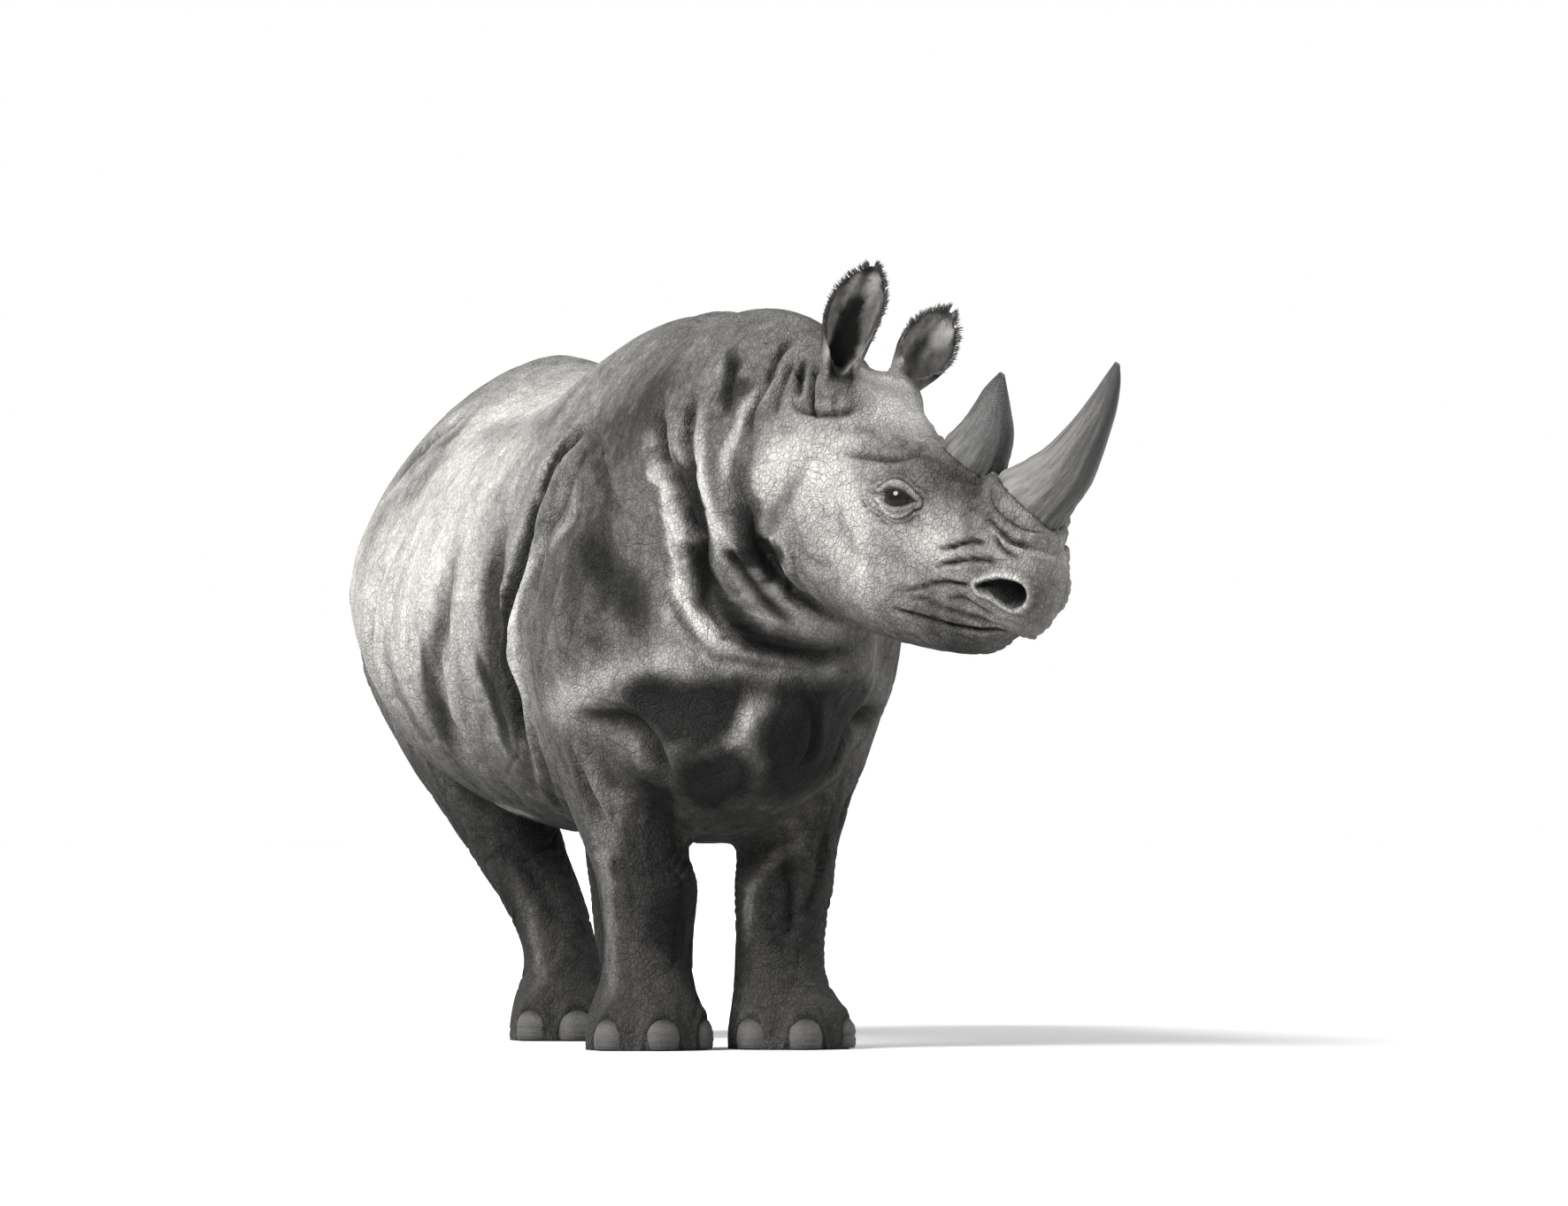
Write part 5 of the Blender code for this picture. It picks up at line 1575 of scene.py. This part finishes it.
def noise_of(tree, place, scale, detail, roughness=0.5, distortion=0.0):
    """A noise: its grey and its colour."""
    made = node(tree, "ShaderNodeTexNoise", None, Vector=place, Scale=scale, Detail=detail,
                Roughness=roughness, Distortion=distortion)
    return made.outputs[0], made.outputs["Color"]


def range_of(tree, value, low, high, start=0.0, end=1.0, kind="SMOOTHSTEP"):
    """A value that goes from start to end while another goes from low to high."""
    made = node(tree, "ShaderNodeMapRange", {"interpolation_type": kind}, Value=value,
                From_Min=low, From_Max=high, To_Min=start, To_Max=end)
    return made.outputs[0]


def warm(level):
    """A grey of this level, a little warm."""
    return (level, 0.974 * level, 0.93 * level)


def ramp_of(tree, factor, *stops):
    """The colour of a ramp with stops (place, colour)."""
    made = node(tree, "ShaderNodeValToRGB", None, Fac=factor)
    elements = made.color_ramp.elements
    while len(elements) < len(stops):
        elements.new(0.5)
    for element, (place, colour) in zip(elements, stops):
        element.position = place
        element.color = (*colour, 1.0)
    return made.outputs["Color"]


def mixed(tree, factor, one, two, blend="MIX"):
    """A mix of two colours."""
    made = node(tree, "ShaderNodeMix", {"data_type": "RGBA", "blend_type": blend})
    for socket, value in ((made.inputs[0], factor), (made.inputs[6], one), (made.inputs[7], two)):
        if isinstance(value, bpy.types.NodeSocket):
            tree.links.new(value, socket)
        else:
            socket.default_value = value if isinstance(value, float) else (*value, 1.0)
    return made.outputs[2]


def islands(tree, place, density, gap):
    """1 on the islands between cracks, eased down to 0 over the gap at their edges."""
    cells = node(tree, "ShaderNodeTexVoronoi", {"feature": "DISTANCE_TO_EDGE"}, Vector=place,
                 Scale=density)
    return range_of(tree, cells.outputs["Distance"], 0.0, gap)


def grain_group():
    """Hide grain: cells with cracks between them, among wider and finer cells, and pores.

    Puts out a height, and a mask that is 1 in the cracks.
    """
    inputs = {"Vector": None, "Cell Size": 0.02, "Stretch": 1.0}
    tree, given, result = group_of("hide_grain", inputs, ("Height", "Cracks"))
    place = given["Vector"]
    density = math_of(tree, "DIVIDE", 1.0, given["Cell Size"])
    _, sway = noise_of(tree, place, 14.0, 3.0)
    moved = vector_of(tree, "ADD", place, i1=vector_of(tree, "SCALE", sway, Scale=0.030))
    pull = node(tree, "ShaderNodeCombineXYZ", None, X=1.0, Y=1.0, Z=given["Stretch"]).outputs[0]
    pulled = vector_of(tree, "MULTIPLY", moved, i1=pull)
    middling = islands(tree, pulled, density, 0.16)
    fine = islands(tree, pulled, times(tree, density, 2.7), 0.22)
    _, drift = noise_of(tree, place, 7.0, 4.0)
    slid = vector_of(tree, "ADD", pulled, i1=vector_of(tree, "SCALE", drift, Scale=0.11))
    wide = islands(tree, slid, times(tree, density, 0.27), 0.10)
    pores, _ = noise_of(tree, place, 420.0, 2.0)
    height = sum_of(tree, (middling, 0.50), (wide, 0.45), (fine, 0.26), (pores, 0.16))
    cracks = math_of(tree, "MAXIMUM", less(tree, 1.0, middling), times(tree, less(tree, 1.0, fine), 0.4))
    wide_cracks = times(tree, less(tree, 1.0, wide), 0.8)
    cracks = math_of(tree, "MAXIMUM", times(tree, cracks, 0.7), wide_cracks)
    tree.links.new(height, result["Height"])
    tree.links.new(cracks, result["Cracks"])
    return tree


def dust_group():
    """Dust and dried mud: patches of noise at two scales."""
    inputs = {"Vector": None, "Amount": 0.5, "Patch Size": 0.25}
    tree, given, result = group_of("dust", inputs, ("Mask", "Mottle"))
    density = math_of(tree, "DIVIDE", 1.0, given["Patch Size"])
    patches, _ = noise_of(tree, given["Vector"], density, 6.0, 0.62)
    specks, _ = noise_of(tree, given["Vector"], times(tree, density, 9.0), 4.0, 0.7)
    both = sum_of(tree, (patches, 0.7), (specks, 0.3))
    low = less(tree, 0.78, times(tree, given["Amount"], 0.5))
    mask = range_of(tree, both, low, math_of(tree, "ADD", low, 0.26))
    tree.links.new(mask, result["Mask"])
    tree.links.new(specks, result["Mottle"])
    return tree


def material_of(name):
    """A new material with its tree, its shader's inputs and object coordinates."""
    made = bpy.data.materials.new(name)
    made.use_nodes = True
    tree = made.node_tree
    place = tree.nodes.new("ShaderNodeTexCoord").outputs["Object"]
    return made, tree, tree.nodes["Principled BSDF"].inputs, place


def attribute(tree, name, kind="Fac"):
    """What a piece's points carry under a name."""
    return node(tree, "ShaderNodeAttribute", {"attribute_name": name}).outputs[kind]


def placed_group(tree, group, **inputs):
    """The outputs of a group node with its inputs fed."""
    return node(tree, "ShaderNodeGroup", {"node_tree": group}, **inputs).outputs


def finished(tree, shader, colour, roughness, height=None, distance=0.0):
    """Feeds colour, roughness and a height, through a Bump node, to a shader."""
    tree.links.new(colour, shader["Base Color"])
    tree.links.new(roughness, shader["Roughness"])
    bump = node(tree, "ShaderNodeBump", None, Height=height, Distance=distance)
    tree.links.new(bump.outputs[0], shader["Normal"])


def hide_material(grain, dust):
    """Grey wrinkled hide with painted light and shade: painted shade in folds, nostrils and ear cups,
    and painted light with dust on the flanks and cheeks.
    """
    made, tree, shader, place = material_of("rhinoceros_hide")
    cells = placed_group(tree, grain, Vector=place, Cell_Size=0.0095, Stretch=0.7)
    powder = placed_group(tree, dust, Vector=place, Amount=0.42, Patch_Size=0.20)
    tone = attribute(tree, "tone")
    lie = node(tree, "ShaderNodeMapping", None, Vector=place, Scale=(1.0, 1.0, 0.32)).outputs[0]
    wash, _ = noise_of(tree, lie, 11.0, 7.0, 0.62, 0.35)
    runs, _ = noise_of(tree, place, 38.0, 6.0, 0.65)
    pale = attribute(tree, "pale")
    # tone is the painted light and shade; pale adds the fold lips' painted highlight and dust, and the
    # pale lids and nostril rims
    level = sum_of(tree, (tone, 0.46), (wash, 0.52), (runs, 0.30), (pale, 0.30))
    colour = ramp_of(tree, level, (0.00, warm(0.009)), (0.24, warm(0.029)), (0.44, warm(0.085)),
                     (0.66, warm(0.190)), (0.92, warm(0.360)))
    # dust patches gather more where the tone's painted light is paler
    dust_and_painted_light = times(tree, math_of(tree, "ADD", tone, 0.25, True), 0.35)
    colour = mixed(tree, times(tree, powder["Mask"], dust_and_painted_light), colour, warm(0.300))
    rough_hide = less(tree, 1.0, attribute(tree, "fine"), True)
    # darker in the grain's cracks, less where the hide is fine
    crack_darkening = times(tree, cells["Cracks"], times(tree, rough_hide, 0.55))
    colour = mixed(tree, crack_darkening, colour, warm(0.300), "MULTIPLY")
    # painted shade in the creases of the folds, lids, nail folds and horn seats
    colour = mixed(tree, times(tree, attribute(tree, "crease_shade"), 0.92, True), colour, warm(0.004))
    # painted shade in the nostrils and in the cups of the ears
    colour = mixed(tree, times(tree, attribute(tree, "hollow"), 0.97, True), colour, warm(0.003))
    rough = range_of(tree, powder["Mottle"], 0.0, 1.0, 0.62, 0.90, "LINEAR")
    shader["Specular IOR Level"].default_value = 0.07
    finished(tree, shader, colour, rough, times(tree, cells["Height"], rough_hide), 0.0034)
    return made


def horn_material(name, dust, shade):
    """Horn: dark fibres that run its length, paler and frayed at the base, polished at the tip, with
    painted shade on its forward side and over the whole horn.
    """
    made, tree, shader, place = material_of(name)
    share = attribute(tree, "share")
    lie = attribute(tree, "fibre_place", "Vector")
    fibres, _ = noise_of(tree, lie, 26.0, 5.0, 0.65)
    streaks, _ = noise_of(tree, lie, 5.0, 4.0)
    powder = placed_group(tree, dust, Vector=place, Amount=0.35, Patch_Size=0.05)
    ahead = node(tree, "ShaderNodeSeparateXYZ", None, Vector=lie).outputs["Y"]
    # painted shade: darker on the side that faces forward, and by the horn's own amount
    level = sum_of(tree, (streaks, 0.5), (fibres, 0.25), (share, -0.26), (ahead, -0.07))
    level = less(tree, level, shade)
    base = ramp_of(tree, level, (0.06, warm(0.010)), (0.24, warm(0.024)), (0.50, warm(0.092)))
    colour = mixed(tree, times(tree, powder["Mask"], 0.18), base, warm(0.150))
    rough = range_of(tree, share, 0.2, 0.9, 0.60, 0.32, "LINEAR")
    shader["Specular IOR Level"].default_value = 0.30
    finished(tree, shader, colour, rough, fibres, 0.0018)
    return made


def nail_material(grain, dust):
    """Toenail: worn grey-brown horn with level ridges, darker at its root and at its foot."""
    made, tree, shader, place = material_of("toenail_horn")
    cells = placed_group(tree, grain, Vector=place, Cell_Size=0.010, Stretch=3.5)
    powder = placed_group(tree, dust, Vector=place, Amount=0.55, Patch_Size=0.04)
    colour = ramp_of(tree, attribute(tree, "share"), (0.0, warm(0.014)), (0.30, warm(0.040)),
                     (0.62, warm(0.050)), (0.85, warm(0.014)))
    colour = mixed(tree, times(tree, powder["Mask"], 0.75), colour, warm(0.028))
    colour = mixed(tree, times(tree, cells["Cracks"], 0.35), colour, warm(0.025))
    rough = range_of(tree, powder["Mottle"], 0.0, 1.0, 0.42, 0.72, "LINEAR")
    shader["Specular IOR Level"].default_value = 0.20
    finished(tree, shader, colour, rough, cells["Height"], 0.0012)
    return made


def eye_material():
    """Eye: near-black oval pupil, dark brown iris with fine rays, dark rim, veined brown white."""
    made, tree, shader, place = material_of("wet_eye")
    out = attribute(tree, "out_from_pupil")
    rays, _ = noise_of(tree, place, 520.0, 3.0)
    iris = ramp_of(tree, rays, (0.35, (0.003, 0.0022, 0.0018)), (0.65, (0.010, 0.0065, 0.0045)))
    white = ramp_of(tree, rays, (0.3, (0.008, 0.006, 0.005)), (0.7, (0.020, 0.016, 0.013)))
    rim = range_of(tree, out, 0.60, 0.74, 1.0, 0.25)
    colour = mixed(tree, 1.0, iris, rim, "MULTIPLY")
    colour = mixed(tree, range_of(tree, out, 0.74, 0.82), colour, white)
    pupil = range_of(tree, attribute(tree, "across_pupil"), 0.24, 0.29, 1.0, 0.0)
    colour = mixed(tree, pupil, colour, (0.002, 0.002, 0.002))
    wet = range_of(tree, rays, 0.0, 1.0, 0.04, 0.10, "LINEAR")
    shader["Specular IOR Level"].default_value = 0.10
    shader["Coat Weight"].default_value = 0.12
    shader["Coat Roughness"].default_value = 0.03
    finished(tree, shader, colour, wet, rays, 0.00004)
    return made


def hair_material():
    """Bristle: near-black with slightly paler strands."""
    made, tree, shader, place = material_of("dark_bristle")
    strands, _ = noise_of(tree, place, 180.0, 3.0)
    colour = ramp_of(tree, strands, (0.3, (0.012, 0.011, 0.010)), (0.75, (0.060, 0.055, 0.050)))
    rough = range_of(tree, strands, 0.0, 1.0, 0.45, 0.70, "LINEAR")
    finished(tree, shader, colour, rough, strands, 0.0004)
    return made


# ---------------------------------------------------------------- stage
LIGHTS = {  # where each comes from, and its strength
    "key": ((-1.0, -0.38, 0.80), 12.0),
    "fill": ((1.0, 0.10, 0.60), 2.3),
}
LIGHT_SPREAD = 0.55  # a light's width seen from the animal, in radians: soft shadows
FLOOR_REACH = 30.0
CAMERA_AZIMUTH = -17.0  # degrees round from straight ahead
CAMERA_DISTANCE = 38.0  # from the front feet
CAMERA_HEIGHT = 0.966
CAMERA_ASIDE = 0.0307  # the chest's middle lies this far left of the view's middle
CAMERA_LENS = 403.0


def linked(name, data, way):
    """A light or camera in the scene, turned to look along a way."""
    holder = bpy.data.objects.new(name, data)
    holder.rotation_euler = way.to_track_quat("-Z", "Y").to_euler()
    bpy.context.scene.collection.objects.link(holder)
    return holder


def stage():
    """A pale floor in a white studio, a broad soft light from the upper left and a weak one opposite."""
    corners = np.array([(-1, -1, 0), (1, -1, 0), (1, 1, 0), (-1, 1, 0)]) * FLOOR_REACH
    floor = new_object("floor", corners, [(0, 1, 2, 3)])
    made, tree, shader, place = material_of("pale_floor")
    cloud, _ = noise_of(tree, place, 0.6, 2.0)
    colour = ramp_of(tree, cloud, (0.3, (0.45, 0.45, 0.45)), (0.7, (0.48, 0.48, 0.48)))
    tree.links.new(colour, shader["Base Color"])
    shader["Roughness"].default_value = 0.9
    floor.data.materials.append(made)
    floor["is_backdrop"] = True

    world = bpy.data.worlds.new("studio")
    bpy.context.scene.world = world
    world.use_nodes = True
    sky = world.node_tree.nodes["Background"].inputs
    sky["Color"].default_value = (1.0, 1.0, 1.0, 1.0)
    sky["Strength"].default_value = 1.0
    bpy.context.scene.view_settings.view_transform = "Standard"
    for name, (source, strength) in LIGHTS.items():
        sun = bpy.data.lights.new(name, "SUN")
        sun.energy = strength
        sun.angle = LIGHT_SPREAD
        linked(name, sun, -Vector(source))


def camera():
    """A level camera far in front of the animal and a little to its right."""
    azimuth = math.radians(CAMERA_AZIMUTH)
    right = Vector((math.cos(azimuth), math.sin(azimuth), 0))
    back = Vector((math.sin(azimuth), -math.cos(azimuth), 0))
    chest = Vector(MODEL_SHIFT)
    feet = chest + Vector((0, FRONT_FOOT[1][1], 0))
    lens = bpy.data.cameras.new("camera")
    lens.sensor_width = 36.0
    lens.lens = CAMERA_LENS
    lens.clip_end = 200.0
    holder = linked("camera", lens, -back)
    holder.location = right * (chest.dot(right) + CAMERA_ASIDE)
    holder.location += back * (feet.dot(back) + CAMERA_DISTANCE) + Vector((0, 0, CAMERA_HEIGHT))
    bpy.context.scene.camera = holder


# ---------------------------------------------------------------- putting it together
FLESH = ["trunk", "head", "neck", "tail"]
FLESH += [f"{part}_{side}" for part in ("foreleg", "hindleg", "forefoot", "hindfoot", "ear")
          for side in SIDES.values()]


def dressed(piece, material, slot, *nodes):
    """Gives a piece its material, puts it on the root and hides the solids it replaces; the slot is not
    used.
    """
    piece.data.materials.clear()
    piece.data.materials.append(material)
    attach(piece, "root")
    if nodes:
        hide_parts(*nodes)


def build():
    """Makes every piece and puts it on the frame."""
    stage()
    camera()
    grain, dust = grain_group(), dust_group()
    hide, bristle = hide_material(grain, dust), hair_material()
    middles = {}
    for side, name in SIDES.items():
        low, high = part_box(f"eye_{name}")
        middles[side] = np.array((low + high) / 2) - MODEL_SHIFT

    skin = melted_skin()
    tree = skin_tree(skin.data)
    axes = {side: eye_axes(middle, tree) for side, middle in middles.items()}
    middles = {side: middle - axes[side][0] * EYE_SINK for side, middle in middles.items()}
    sculpted_skin(skin, middles, axes)
    foot_tree = skin_tree(skin.data)
    toned(skin.data, foot_tree)
    thin(skin)
    dressed(shifted(skin), hide, "hide", *FLESH)

    eye = eye_material()
    for side, name in SIDES.items():
        ball = eyeball(side, middles[side], *axes[side])
        dressed(ball, eye, "eye", f"eye_{name}")
        dressed(lashes(side, middles[side], axes[side]), bristle, "hide")
        dressed(ear_fringe(side, foot_tree), bristle, "hide")
    dressed(tail_brush(), bristle, "hide")
    for name, shade in HORN_PAINTED_SHADES.items():
        dressed(horn(name), horn_material(f"{name}_keratin", dust, shade), "horn", name)
    claw = nail_material(grain, dust)
    for kind, feet, _ in FEET:
        for side, side_name in SIDES.items():
            for number, turn in enumerate(NAIL_TURNS, 1):
                name = f"nail_{kind}_{side_name}_{number}"
                piece = nail(f"toe{name}", feet[side], turn, foot_tree)
                dressed(piece, claw, "nail", name)


build()
[[list(corner) for corner in box] for box in (CAD_BOX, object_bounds())]
